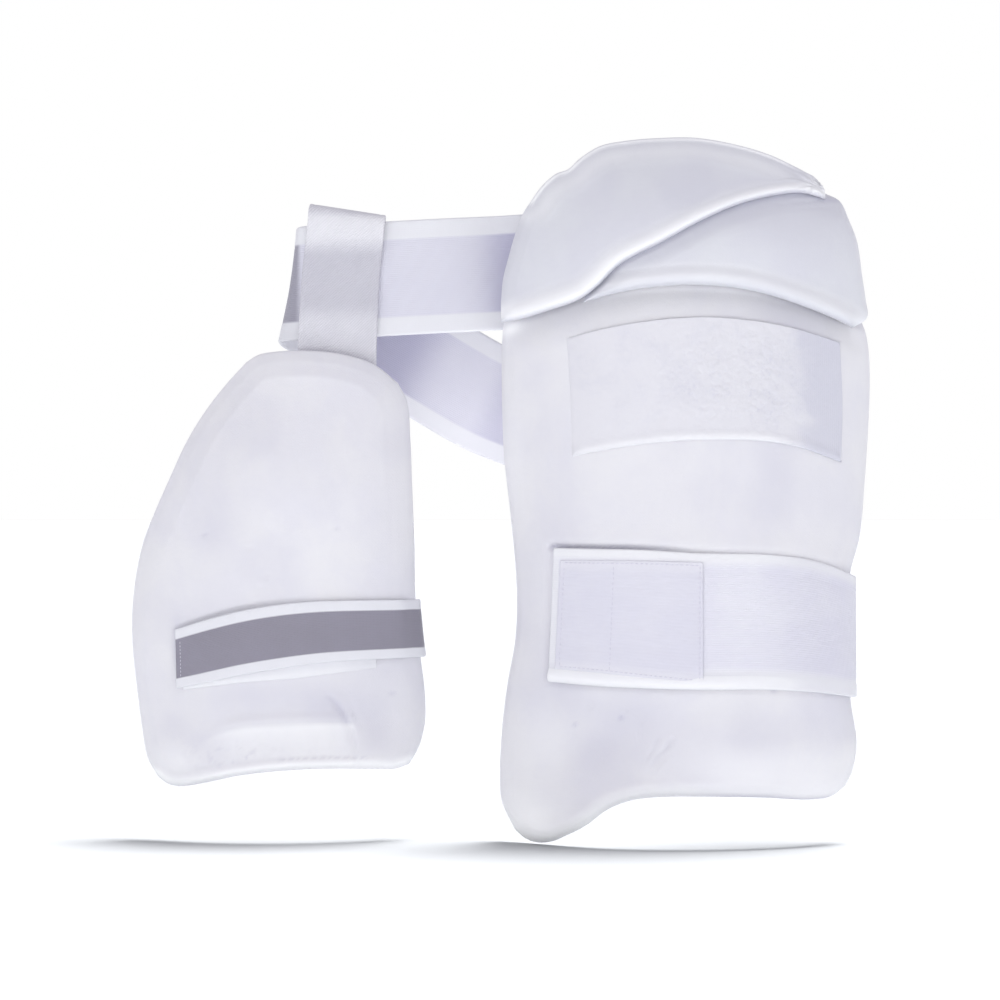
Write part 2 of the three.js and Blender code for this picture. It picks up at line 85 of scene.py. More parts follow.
OUTER_EDGES = {  # left and right: z, x; bottom and top: x, z
    "left": [(-337.9, -31.1), (-321.9, -39), (-306.5, -40.3), (-278.7, -39), (-250.9, -35.9), (-223.1, -31),
             (-198.4, -29.8), (-173.7, -31), (-142.8, -34.1), (-108.8, -37.8), (-74.9, -39), (-40.9, -39),
             (-26.7, -37.8), (-14.6, -34.2)],
    "right": [(-311.1, 170.2), (-301, 175.5), (-284.9, 178.1), (-262, 174.6), (-240, 173), (-215, 173),
              (-190, 173.6), (-178, 175), (-166, 179), (-155.2, 181.5), (-124.3, 184.6), (-93.4, 187),
              (-65.6, 188.3), (-44, 187.6), (-30.4, 184.6), (-14.6, 176.9)],
    "bottom": [(-31.1, -337.9), (-25, -342.6), (-17.7, -344.6), (-9.1, -343.4), (0, -339.2), (11.6, -332.6),
               (24.4, -322.6), (39, -316.6), (57.3, -314.4), (81.7, -314.2), (118.3, -315.4), (148, -317.8),
               (161, -316.6), (170.2, -311.1)],
    "top": [(-34.2, -14.6), (-3.7, -9.1), (32.9, -3), (69.5, 0), (106.1, -1.8), (142.7, -7.9), (176.9, -14.6)],
}
HIP_RIM = [(-40.3, -28.3), (-16, -22.8), (8.2, -16.8), (32.4, -10.7), (56.6, -7.4), (80.8, -7.1), (105, -8.9),
           (129.3, -14.3), (153.5, -21.6), (180.1, -31.3)]
UPPER_EDGES = {
    "left": [(-27.9, -39.7), (-15.3, -39.6), (-1.1, -38.4), (11.2, -35.3), (24.2, -31.6), (38.9, -26.1),
             (46.2, -21.3)],
    "right": [(46.6, 158), (54, 157.5), (60.9, 151.8)],
    "bottom": [(-39.7, -27.9), (-28.2, -26.7), (-10.2, -21.9), (7.8, -15.9), (18.6, -8.1), (31.8, 4.6),
               (55.9, 17.2), (79.9, 30.4), (103.9, 41.2), (128, 47.8), (143, 49.6), (158, 46.6)],
    "top": [(-21.3, 46.2), (-15.2, 54.8), (-6, 62.7), (1.3, 65.2), (8.7, 71.9), (20.9, 79.2), (36.2, 82),
            (57.6, 83.5), (79, 83.5), (106.5, 78.6), (124.9, 73.1), (140.1, 66.4), (151.8, 60.9)],
}
LOWER_EDGES = {
    "left": [(-17.7, 10.2), (-9.5, 11.8), (-2.2, 15.4)],
    "right": [(-31.5, 174.8), (-24.5, 185.2), (-13.4, 184), (2, 181.5), (21.7, 178.5), (34.6, 173.5),
              (46.3, 168), (52.3, 157.7)],
    "bottom": [(10.2, -17.7), (25.8, -13.5), (43.9, -10.2), (67.9, -8.1), (91.9, -8.7), (116, -12.3),
               (140, -18.9), (164, -27), (174.8, -31.5)],
    "top": [(15.4, -2.2), (32.4, 11.1), (53.6, 25), (80.8, 40.1), (105, 51), (129.3, 57.1), (157.7, 52.3)],
}
PANEL_EDGES = {
    "left": [(-110.8, 3), (-76.1, 2.1), (-38.7, 0)],
    "right": [(-113.8, 167.6), (-75.6, 168.6), (-40.5, 167)],
    "bottom": [(3, -110.8), (19.8, -107.2), (43.9, -103.6), (67.9, -101.2), (91.9, -100.6), (116, -101.2),
               (140, -104.8), (167.6, -113.8)],
    "top": [(0, -38.7), (19.8, -33.9), (43.9, -29.7), (67.9, -27.3), (91.9, -27), (116, -29.1), (140, -33.3),
            (167, -40.5)],
}
INNER_EDGES = {
    "left": [(-307.1, -251.5), (-296.7, -258), (-279.3, -261.7), (-257.6, -264.8), (-232.8, -267.9),
             (-211.1, -269.2), (-186.3, -267.3), (-163.3, -262.4), (-145.9, -255.5), (-125.5, -246.2),
             (-100, -234.4), (-82, -223.3), (-65.3, -210.2), (-51.4, -197.1)],
    "right": [(-299.7, -96.5), (-289.3, -90.5), (-274.4, -86.8), (-254.5, -87), (-236, -89.2), (-215, -91.4),
              (-195, -92.6), (-164.6, -93), (-130.4, -94.2), (-99.4, -95.5), (-75.8, -97.6), (-64.4, -103.3)],
    "bottom": [(-251.5, -307.1), (-245.3, -311.2), (-237.3, -312.7), (-222.5, -310.2), (-200.8, -305.3),
               (-176.1, -302.2), (-145.3, -300.9), (-117.5, -301.8), (-105.1, -302.2), (-96.5, -299.7)],
    "top": [(-197.1, -51.4), (-189.7, -47.1), (-179.2, -45.2), (-157.6, -44.6), (-136, -47.1), (-117.5, -53.3),
            (-103.3, -64.4)],
}
# x, top z, bottom z
OUTER_STRAP_FRONT = [(-10.5, -165.6, -246.4), (20, -166, -248.4), (44, -166.4, -249.2), (80, -168.4, -250),
                     (116, -169, -250.2), (140, -171.4, -251.8), (152, -174, -253.2), (165, -178.6, -255.2)]
OUTER_END_FRONT = [(-7, -172.8, -238.4), (20, -172.8, -240.2), (44, -172.9, -242.7), (81, -174, -246.4)]
INNER_STRAP_FRONT = [(-237.5, -215.9, -251.9), (-223, -211.1, -248.9), (-199, -204.4, -243.4),
                     (-174.5, -200.1, -239.1), (-150, -198, -235.8), (-125.7, -197.6, -234.2),
                     (-101, -197.6, -233.4)]
INNER_TAB_FRONT = [(-233.5, -220, -252.6), (-199, -210, -248), (-162, -204, -244.8), (-138, -202, -241.8),
                   (-116, -202, -239.4)]
# x, y, top z, bottom z
OUTER_STRAP_WRAP = [(171.2, -39.6, -181.4, -256.4), (175, -32.6, -183, -257), (176.2, -24, -183.8, -257.4),
                    (176.2, -14, -184.2, -257.6), (174.2, 4, -184.6, -257.6), (167, 28, -185, -257),
                    (149, 50, -184, -256), (118, 67, -182, -254), (78, 74, -180, -252), (40, 69, -178, -250),
                    (8, 55, -176, -248), (-14, 36, -174, -246), (-24, 15, -173, -245), (-25.6, -3, -172.5, -244.5),
                    (-21.6, -17.6, -172, -244), (-13.5, -29.2, -172, -244), (-4, -36.8, -172, -244),
                    (9, -44.2, -172, -244)]
INNER_STRAP_WRAP = [(-94.4, -25.4, -197.8, -233.4), (-89.8, -20, -198, -233.6), (-88.4, -13, -198.2, -233.8),
                    (-88.2, -5, -198.4, -234), (-90, 8, -199, -235), (-97, 27, -200, -236), (-112, 44, -201, -237),
                    (-138, 57, -203, -239), (-170, 62, -205, -241), (-202, 58, -207, -243), (-229, 46, -209, -245),
                    (-248, 29, -210, -246), (-258, 12, -211, -247), (-259.5, 0, -211.5, -247.5),
                    (-256.4, -6, -212, -248), (-249, -11.6, -212, -248), (-240, -17.2, -212, -248),
                    (-226, -24.2, -212, -248)]
# x, y, z, lean in degrees
BELT_PATH = [(72, -58.6, 5, 0), (30, -50, 5, 0), (-8, -29, 5, 1), (-38, -9.6, 4.4, 2), (-70, -10.6, 2.8, 3),
             (-110, -11.2, 0.6, 3), (-138, -11.2, -1, 2), (-160, -10.6, -2, 2), (-168.2, -4, -2.4, 6),
             (-171, 14, -2.6, 11), (-170.2, 34, -3.6, 14), (-163.5, 53, -7.5, 19), (-143, 66, -17, 26),
             (-99, 71, -42, 29), (-39, 73, -75.5, 27), (0, 74, -86, 0), (39, 73, -75.5, -27), (99, 71, -40, -28),
             (143, 64, -14, -22), (165, 46, -2, -14), (173, 22, 2.5, -8), (170, -2, 4, -4), (161, -18, 5, -1),
             (142, -34, 5, 0), (114, -51, 5, 0)]
# y, z, left x, right x, rise
LOOP_PATH = [(-13.5, -66, -165.5, -117, 0), (-13.8, -45, -165.5, -117, 0), (-14.6, -24, -164.6, -116, 0),
             (-13.4, 2, -163, -114.6, 0), (-14.4, 20, -160.9, -112.9, 1.6), (-16.4, 33, -159.2, -111.9, 2.6),
             (-15.6, 39.5, -158.8, -111.4, 3.2),
             (-11.6, 41.6, -158.4, -111.2, 3.6), (-8.6, 41.6, -158.4, -111.2, 3.6), (-5.6, 38, -159, -111.6, 2.8),
             (-5.2, 26, -160.6, -112.6, 2), (-5, 5, -163, -114.6, 0), (-5.2, -20, -164.6, -116, 0),
             (-6.6, -45, -165.5, -117, 0), (-8.4, -66, -165.5, -117, 0), (-11, -69.6, -165.5, -117, 0)]


# ------------------------------------------------------------------ curves and surfaces
def smooth(t):
    t = np.clip(t, 0, 1)
    return t * t * (3 - 2 * t)


def bump_at(s, centre, width):
    return np.exp(-(((s - centre) / width) ** 2))


def spline(points, closed=False, per=24):
    """A centripetal Catmull-Rom curve through the points, per samples a span."""
    P = np.asarray(points, float)
    n = len(P)
    out = []
    for k in range(n if closed else n - 1):
        p1, p2 = P[k], P[(k + 1) % n]
        p0 = P[(k - 1) % n] if closed or k > 0 else 2 * P[0] - P[1]
        p3 = P[(k + 2) % n] if closed or k + 2 < n else 2 * P[-1] - P[-2]
        d0, d1, d2 = (max(float(np.linalg.norm(b - a)), 1e-6) ** 0.5 for a, b in ((p0, p1), (p1, p2), (p2, p3)))
        t1 = ((p1 - p0) / d0 - (p2 - p0) / (d0 + d1) + (p2 - p1) / d1) * d1
        t2 = ((p2 - p1) / d1 - (p3 - p1) / (d1 + d2) + (p3 - p2) / d2) * d1
        t = (np.arange(per) / per)[:, None]
        out.append((2 * t**3 - 3 * t**2 + 1) * p1 + (t**3 - 2 * t**2 + t) * t1
                   + (-2 * t**3 + 3 * t**2) * p2 + (t**3 - t**2) * t2)
    if not closed:
        out.append(P[-1:])
    return np.vstack(out)


def lengths(P):
    return np.concatenate([[0], np.cumsum(np.linalg.norm(np.diff(P, axis=0), axis=1))])


def along(P, share):
    """Points at shares of the length of a polyline."""
    s = lengths(P)
    return np.stack([np.interp(np.asarray(share) * s[-1], s, P[:, k]) for k in range(P.shape[1])], -1)


def smooth_table(rows, column=1, per=16):
    """A smooth function of the first column."""
    P = spline([(r[0], r[column]) for r in rows], per=per)
    order = np.argsort(P[:, 0])
    return lambda x: np.interp(x, P[order, 0], P[order, 1])


def edge_lines(edges):
    """The four edges as polylines of x, z."""
    return {side: spline([(r[1], r[0]) if side in ("left", "right") else r for r in rows])
            for side, rows in edges.items()}


def distance(X, Z, polyline):
    """The distance of each point from a polyline, and the share of its length that is nearest."""
    A, B = polyline[:-1], polyline[1:]
    s = lengths(polyline)
    P = np.stack([X.ravel(), Z.ravel()], -1)
    best, where = np.full(len(P), 1e9), np.zeros(len(P))
    for a, b, s0, s1 in zip(A, B, s[:-1], s[1:]):
        d = b - a
        t = np.clip(((P - a) @ d) / max(d @ d, 1e-12), 0, 1)
        gap = np.linalg.norm(P - (a + t[:, None] * d), axis=1)
        near = gap < best
        best[near], where[near] = gap[near], (s0 + t[near] * (s1 - s0)) / s[-1]
    return best.reshape(X.shape), where.reshape(X.shape)


def thin(polyline, step=3.0):
    """The same polyline with a point every few millimetres."""
    n = max(2, int(lengths(polyline)[-1] / step))
    return along(polyline, np.linspace(0, 1, n + 1))


def stations(length, rim, cell):
    """Shares from 0 to 1, closer together inside rim of each end."""
    near = rim / length * np.linspace(0, 1, 9) ** 1.6
    n = max(4, int(round((length - 2 * rim) / cell)))
    return np.concatenate([near, np.linspace(near[-1], 1 - near[-1], n + 1)[1:-1], (1 - near)[::-1]])


def coons(edges, us, vs):
    E = edge_lines(edges)
    B, T, L, R = along(E["bottom"], us), along(E["top"], us), along(E["left"], vs), along(E["right"], vs)
    U, V = us[None, :, None], vs[:, None, None]
    P = ((1 - V) * B[None] + V * T[None] + (1 - U) * L[:, None] + U * R[:, None]
         - (1 - U) * (1 - V) * B[0] - U * (1 - V) * B[-1] - (1 - U) * V * T[0] - U * V * T[-1])
    return P[..., 0], P[..., 1]


def outer_surface(x, z):
    return (OUTER_CREST_Y + OUTER_LEAN * np.minimum(z, 0)
            + OUTER_SAG * (np.abs(x - OUTER_CENTRE_X) / OUTER_HALF_WIDTH) ** SAG_POWER)


rim_z = smooth_table(HIP_RIM)
crease_z = smooth_table(UPPER_EDGES["bottom"])


def top_recess(x, z):
    return OUTER_TOP_RECESS * smooth((z - rim_z(x) + 2) / 9)


def hip_surface(x, z):
    return outer_surface(x, z) - HIP_LIFT + HIP_DOME * (np.maximum(0, z) / HIP_DOME_HEIGHT) ** 1.8


def below_crease(x, z):
    return (crease_z(x) - z) * 0.88


def inner_surface(x, z):
    rise = np.clip((z + 230) / 170, 0, 1)
    centre = INNER_CENTRE_X + INNER_TOP_SHIFT * rise
    return (INNER_CREST_Y + INNER_SAG * (np.abs(x - centre) / INNER_HALF_WIDTH) ** SAG_POWER
            + INNER_TOP_LEAN * smooth((z + 140) / 95))


# Smooth value noise in the front view, the same on every run.
_lattice = rng.random((64, 64))


def noise(x, z, size, octaves=3, shift=0.0):
    total, scale = np.zeros(np.broadcast(x, z).shape), 1.0
    for k in range(octaves):
        u, v = (x + 1000 + shift) / size * 2**k, (z + 1000 + shift * 0.7) / size * 2**k
        i, j = np.floor(u).astype(int), np.floor(v).astype(int)
        a, b = smooth(u - i), smooth(v - j)
        g = lambda p, q: _lattice[p % 64, q % 64]
        total += scale * ((1 - a) * (1 - b) * g(i, j) + a * (1 - b) * g(i + 1, j)
                          + (1 - a) * b * g(i, j + 1) + a * b * g(i + 1, j + 1) - 0.5)
        scale *= 0.5
    return total


def crease(X, Z, points, width, y=FRONT_Y):
    """How deep in a soft crease along a line of picture points: 1 on it, 0 away from it and past its ends."""
    P = spline(line(points, y), per=8)
    d, w = distance(X, Z, P)
    return np.exp(-((d / width) ** 2)) * np.sin(np.clip(w, 0.001, 0.999) * math.pi) ** 0.5


def pits_at(X, Z, points):
    """Small dimples where the foam has closed up under the cover."""
    total = np.zeros(X.shape)
    for k, (px, py) in enumerate(points):
        x, z = at(px, py)
        total += 0.75 * np.exp(-(((X - x) / (1.5 + 0.3 * (k % 3))) ** 2 + ((Z - z) / 1.3) ** 2))
    return total


# ------------------------------------------------------------------ meshes
def skin(name, front, back, closed=False, uv=None, paint=None):
    """A closed mesh from two grids of points that share their outer rows, or only their sides if closed."""
    n, m, _ = front.shape
    ids_f = np.arange(n * m).reshape(n, m)
    shared = np.zeros((n, m), bool)
    shared[:, [0, -1]] = True
    if not closed:
        shared[[0, -1], :] = True
    ids_b = np.where(shared, ids_f, -1)
    free = ~shared
    ids_b[free] = n * m + np.arange(free.sum())
    verts = np.vstack([front.reshape(-1, 3), back[free]]) * MM
    rows = np.arange(n if closed else n - 1)
    nxt = (rows + 1) % n
    quad = lambda ids: np.stack([ids[rows][:, :-1], ids[rows][:, 1:], ids[nxt][:, 1:], ids[nxt][:, :-1]], -1)
    faces = np.vstack([quad(ids_f).reshape(-1, 4), quad(ids_b).reshape(-1, 4)[:, ::-1]])
    mesh = bpy.data.meshes.new(name)
    mesh.from_pydata(verts.tolist(), [], faces.tolist())
    if uv is not None:
        UV = np.concatenate([uv, uv[:1] + [uv[-1, 0, 0] * len(uv) / max(len(uv) - 1, 1), 0]]) if closed else uv
        corner = np.stack([UV[rows][:, :-1], UV[rows][:, 1:], UV[rows + 1][:, 1:], UV[rows + 1][:, :-1]], 2)
        corner = corner.reshape(-1, 4, 2)
        layer = mesh.uv_layers.new(name="length_and_width")
        layer.data.foreach_set("uv", np.vstack([corner, corner[:, ::-1]]).astype("f4").ravel() * MM)
    share = np.zeros(len(verts), "f4")
    if paint is not None:
        share[:n * m] = np.clip(paint, -1, 1).ravel()
    mesh.attributes.new("tone", "FLOAT", "POINT").data.foreach_set("value", share)
    mesh.update()
    obj = bpy.data.objects.new(name, mesh)
    scene.collection.objects.link(obj)
    # faces point out: the signed volume is made positive
    tri = verts[faces[:, [0, 1, 2]]], verts[faces[:, [0, 2, 3]]]
    volume = sum(np.einsum("ij,ij->i", t[:, 0], np.cross(t[:, 1], t[:, 2])).sum() for t in tri)
    if volume < 0:
        mesh.flip_normals()
    mesh.shade_smooth()
    return obj


def bevel_profile(s, wall, bevel, wall_share, soft=1.5):
    """Share of full depth at a distance in from the outline: a steep wall, a shallow bevel, then the face."""
    steep = wall_share * np.sqrt(np.clip(1 - (1 - np.clip(s / wall, 0, 1)) ** 2, 0, 1))
    t = np.clip((s - wall) / np.maximum(bevel - wall, 1e-6), 0, 1)
    shallow = (1 - wall_share) * (t - soft / (2 * math.pi * 6) * np.sin(2 * math.pi * t))
    return steep + shallow


def profile_through(s, points, soft=0.6):
    """A profile through (distance, share) points, with its corners rounded over a distance soft."""
    xs, ys = [q[0] for q in points], [q[1] for q in points]
    return sum(np.interp(s + soft * k, xs, ys) for k in (-1, -0.6, -0.2, 0.2, 0.6, 1)) / 6


def tube_on(s, centre, radius, height):
    """A rounded cord under the cloth, centred at a distance from the edge, that runs smoothly into the face."""
    round_side = np.sqrt(np.clip(1 - ((s - centre) / radius) ** 2, 0, 1))
    return height * np.where(s < centre, round_side, 0.5 + 0.5 * np.cos(math.pi * np.clip((s - centre) / (1.3 * radius), 0, 1)))


def groove_above(X, Z, top, start, end, fade, depth, width):
    """The pad pressed in along a strap's upper edge, from x start, fading out towards x end."""
    reach = smooth((X - start) / 5) * (1 - smooth((X - end + fade) / fade))
    return depth * reach * bump_at(Z - top(X), 0.6, width)


def band(name, rows_a, rows_b, thick, closed, outward, step=2.2, across=36, profile=None, centred=False,
         wave=0.0, paint=None):
    """A strap between two edge curves: a is its lower or left edge and b its upper or right one."""
    A, B = spline(rows_a, closed), spline(rows_b, closed)
    if closed:
        A, B = np.vstack([A, A[:1]]), np.vstack([B, B[:1]])
    mid = (A + B) / 2
    s = lengths(mid)
    n = int(s[-1] / step)
    share = np.linspace(0, 1, n + 1)
    if closed:
        share = share[:-1]
    else:
        share = np.unique(np.concatenate([share, np.array([0.25, 0.6, 1.1, 1.7]) / s[-1],
                                          1 - np.array([0.25, 0.6, 1.1, 1.7]) / s[-1]]))
    at_s = share * s[-1]
    A, B = (np.stack([np.interp(at_s, s, P[:, k]) for k in range(3)], -1) for P in (A, B))
    width = float(np.linalg.norm(B - A, axis=1).mean())
    rim = thick * 0.5
    c = np.concatenate([rim / width * np.array([0, 0.13, 0.5, 1.0]), np.linspace(rim / width, 1 - rim / width, across)[1:-1],
                        1 - rim / width * np.array([1.0, 0.5, 0.13, 0])])
    P = A[:, None] + (B - A)[:, None] * c[None, :, None]
    T = np.roll(P, -1, 0) - np.roll(P, 1, 0) if closed else np.gradient(P, axis=0)
    W = (B - A)[:, None] + 0 * P
    N = np.cross(T, W)
    N /= np.linalg.norm(N, axis=2, keepdims=True)
    N *= outward
    inside = np.minimum(c, 1 - c) * width
    h = np.sqrt(np.clip(1 - (1 - np.clip(inside / rim, 0, 1)) ** 2, 0, 1))[None, :] * np.ones((len(P), 1))
    if not closed:
        end = np.minimum(at_s, s[-1] - at_s)
        h = h * np.sqrt(np.clip(1 - (1 - np.clip(end / rim, 0, 1)) ** 2, 0, 1))[:, None]
    extra = profile(c * width, width, at_s) if profile else 0.0
    ripple = wave * (np.sin(at_s / 23.0) + 0.6 * np.sin(at_s / 9.7 + 1.3))[:, None] * (np.abs(c - 0.5) * 2)[None] ** 2
    middle = P + N * ((0.0 if centred else thick / 2) + ripple[..., None])
    front = middle + N * (thick / 2 * h + extra * h)[..., None]
    back = middle - N * (thick / 2 * h)[..., None]
    uv = np.stack(np.broadcast_arrays(at_s[:, None], c[None] * width), -1).astype(float)
    tones = paint(c[None] * width, width, at_s[:, None], front) if paint else None
    obj = skin(name, front, back, closed, uv, None if tones is None else tones + np.zeros(front.shape[:2]))
    return obj, {"front": front, "normal": N, "s": at_s, "c": c, "width": width, "length": float(s[-1])}


def selvages(width_each, raise_by=0.18, groove=0.22):
    """A woven edge on each side, a little thicker, with a fine groove beside it."""
    def profile(v, width, s):
        d = np.minimum(v, width - v)
        return (raise_by * (1 - smooth((d - width_each + 0.6) / 1.2)) - groove * bump_at(d, width_each + 0.3, 0.7))[None, :]
    return profile


def threads(name, points, normals, pitch=3.0, length=2.3, radius=0.26, sink=0.1):
    """A row of stitches along a line: small rounded threads laid on a surface."""
    P, N = np.asarray(points, float), np.asarray(normals, float)
    s = lengths(P)
    count = int(s[-1] / pitch)
    if count < 1:
        return None
    rings, sides = 5, 6
    verts, faces = [], []
    for k in range(count):
        s0 = (k + 0.5) * pitch - length / 2
        ss = s0 + length * np.linspace(0, 1, rings)
        C = np.stack([np.interp(ss, s, P[:, i]) for i in range(3)], -1)
        M = np.stack([np.interp(ss, s, N[:, i]) for i in range(3)], -1)
        M /= np.linalg.norm(M, axis=1, keepdims=True)
        T = np.gradient(C, axis=0)
        T /= np.linalg.norm(T, axis=1, keepdims=True)
        S = np.cross(T, M)
        swell = np.sqrt(np.clip(1 - np.linspace(-0.97, 0.97, rings) ** 2, 0, 1))
        base = len(verts)
        for r in range(rings):
            for q in range(sides):
                a = 2 * math.pi * q / sides
                verts.append(C[r] + M[r] * (radius * (0.75 * math.sin(a)) * swell[r] - sink + radius * 0.5 * swell[r])
                             + S[r] * radius * math.cos(a) * swell[r])
        for r in range(rings - 1):
            for q in range(sides):
                a, b = base + r * sides + q, base + r * sides + (q + 1) % sides
                faces.append((a, b, b + sides, a + sides))
        faces.append(tuple(base + q for q in range(sides))[::-1])
        faces.append(tuple(base + (rings - 1) * sides + q for q in range(sides)))
    mesh = bpy.data.meshes.new(name)
    mesh.from_pydata((np.array(verts) * MM).tolist(), [], faces)
    mesh.update()
    obj = bpy.data.objects.new(name, mesh)
    scene.collection.objects.link(obj)
    mesh.shade_smooth()
    return obj


def on_grid(grid, along_mm, across_mm):
    """A point and its normal on a strap's front, at a distance along it and up from its lower edge."""
    s, v = grid["s"], grid["c"] * grid["width"]
    i = np.clip(np.interp(along_mm, s, np.arange(len(s))), 0, len(s) - 1)
    j = np.clip(np.interp(across_mm, v, np.arange(len(v))), 0, len(v) - 1)
    i0, j0 = np.floor(i).astype(int), np.floor(j).astype(int)
    i1, j1 = np.minimum(i0 + 1, len(s) - 1), np.minimum(j0 + 1, len(v) - 1)
    a, b = (i - i0)[..., None], (j - j0)[..., None]
    pick = lambda G: ((1 - a) * (1 - b) * G[i0, j0] + a * (1 - b) * G[i1, j0] + (1 - a) * b * G[i0, j1] + a * b * G[i1, j1])
    return pick(grid["front"]), pick(grid["normal"])


# ------------------------------------------------------------------ materials
def srgb(r, g, b):
    f = lambda v: v / 12.92 if v <= 0.04045 else ((v + 0.055) / 1.055) ** 2.4
    return (f(r / 255), f(g / 255), f(b / 255), 1.0)


class Nodes:
    """A short way to write a material's node tree."""

    def __init__(self, name, roughness, sheen=0.0, specular=0.3):
        self.material = bpy.data.materials.new(name)
        self.material.use_nodes = True
        self.tree = self.material.node_tree
        self.shader = self.tree.nodes["Principled BSDF"]
        self.shader.inputs["Roughness"].default_value = roughness
        self.shader.inputs["Specular IOR Level"].default_value = specular
        self.shader.inputs["Sheen Weight"].default_value = sheen
        self.shader.inputs["Sheen Roughness"].default_value = 0.5

    def add(self, kind, inputs=None, **props):
        node = self.tree.nodes.new(kind)
        for key, value in props.items():
            setattr(node, key, value)
        for key, value in (inputs or {}).items():
            if isinstance(value, bpy.types.NodeSocket):
                self.tree.links.new(value, node.inputs[key])
            else:
                node.inputs[key].default_value = value
        return node

    def position(self):
        return self.add("ShaderNodeTexCoord").outputs["Object"]

    def uv(self):
        return self.add("ShaderNodeUVMap", uv_map="length_and_width").outputs["UV"]

    def math(self, kind, a, b=0.0, c=0.0, clamp=False):
        node = self.add("ShaderNodeMath", {0: a, 1: b, 2: c}, operation=kind)
        node.use_clamp = clamp
        return node.outputs[0]

    def noise(self, vector, scale, detail=3.0, rough=0.55, distortion=0.0):
        return self.add("ShaderNodeTexNoise", {"Vector": vector, "Scale": scale, "Detail": detail,
                                               "Roughness": rough, "Distortion": distortion}).outputs["Fac"]

    def scaled(self, vector, scale):
        return self.add("ShaderNodeMapping", {"Vector": vector, "Scale": scale}).outputs["Vector"]

    def turned(self, vector, rotation, scale=(1, 1, 1)):
        return self.add("ShaderNodeMapping", {"Vector": vector, "Rotation": rotation, "Scale": scale}).outputs["Vector"]

    def ramp(self, value, low, high):
        return self.add("ShaderNodeMapRange", {"Value": value, "From Min": low, "From Max": high},
                        clamp=True, interpolation_type="SMOOTHSTEP").outputs["Result"]

    def mix(self, share, a, b):
        node = self.add("ShaderNodeMix", data_type="RGBA")
        for key, value in ((0, share), (6, a), (7, b)):
            if isinstance(value, bpy.types.NodeSocket):
                self.tree.links.new(value, node.inputs[key])
            else:
                node.inputs[key].default_value = value
        return node.outputs[2]

    def bump(self, height, strength, distance, normal=None):
        node = self.add("ShaderNodeBump", {"Height": height, "Strength": strength, "Distance": distance})
        if normal is not None:
            self.tree.links.new(normal, node.inputs["Normal"])
        return node.outputs["Normal"]

    def tone(self):
        return self.add("ShaderNodeAttribute", attribute_name="tone").outputs["Fac"]

    def painted_light_and_marks(self, colour, white, dark=None):
        """The colour, whiter where the tone attribute is above nought: painted highlights on rolls, edges and lips.
        Where it is below nought and a dark colour is given, darker: painted shade in folds, creases, grooves and
        hollows, with a few real marks such as a row of stitches and random mottling.
        """
        share = self.tone()
        colour = self.mix(self.math("MAXIMUM", share, 0.0), colour, white)
        if dark is None:
            return colour
        return self.mix(self.math("MAXIMUM", self.math("MULTIPLY", share, -1.0), 0.0), colour, dark)

    def finish(self, colour, normal=None):
        if isinstance(colour, bpy.types.NodeSocket):
            self.tree.links.new(colour, self.shader.inputs["Base Color"])
        else:
            self.shader.inputs["Base Color"].default_value = colour
        if normal is not None:
            self.tree.links.new(normal, self.shader.inputs["Normal"])
        return self.material


def cover_cloth(name, light, shade, roughness=0.72, sheen=0.25, weave=1.0, blotch=16.0, pits=0.25, specular=0.25):
    """Brushed cloth stretched over moulded foam: faint mottling, a fine knit and scattered small dimples."""
    n = Nodes(name, roughness, sheen, specular)
    p = n.position()
    mottle = n.ramp(n.noise(p, blotch, 4.0, 0.6, 0.3), 0.36, 0.66)
    fine = n.noise(p, 420.0, 2.0, 0.6)
    colour = n.mix(mottle, light, shade)
    colour = n.mix(n.math("MULTIPLY", n.ramp(fine, 0.35, 0.75), 0.16), colour, shade)
    knit_a = n.add("ShaderNodeTexWave", {"Vector": n.turned(p, (0, math.radians(45), 0)), "Scale": 480.0,
                                         "Distortion": 1.5, "Detail": 1.0, "Detail Scale": 2.0},
                   wave_type="BANDS", bands_direction="X").outputs["Fac"]
    knit_b = n.add("ShaderNodeTexWave", {"Vector": n.turned(p, (0, math.radians(45), 0)), "Scale": 480.0,
                                         "Distortion": 1.5, "Detail": 1.0, "Detail Scale": 2.0},
                   wave_type="BANDS", bands_direction="Z").outputs["Fac"]
    knit = n.math("ADD", knit_a, knit_b)
    normal = n.bump(knit, 0.22 * weave, 0.0003)
    normal = n.bump(n.noise(p, 900.0, 2.0), 0.25 * weave, 0.0003, normal)
    pit = n.add("ShaderNodeTexVoronoi", {"Vector": p, "Scale": 55.0, "Randomness": 1.0}, feature="F1").outputs["Distance"]
    few = n.ramp(n.noise(p, 38.0, 1.0), 0.58, 0.68)
    normal = n.bump(n.math("MULTIPLY", n.ramp(pit, 0.14, 0.0), few), -pits, 0.0006, normal)
    normal = n.bump(n.noise(p, 55.0, 3.0, 0.6), 0.16, 0.0025, normal)
    # the tone attribute lays on painted highlights in srgb(249, 249, 251) and painted shade in srgb(168, 166, 192)
    return n.finish(n.painted_light_and_marks(colour, srgb(249, 249, 251), srgb(168, 166, 192)), normal)


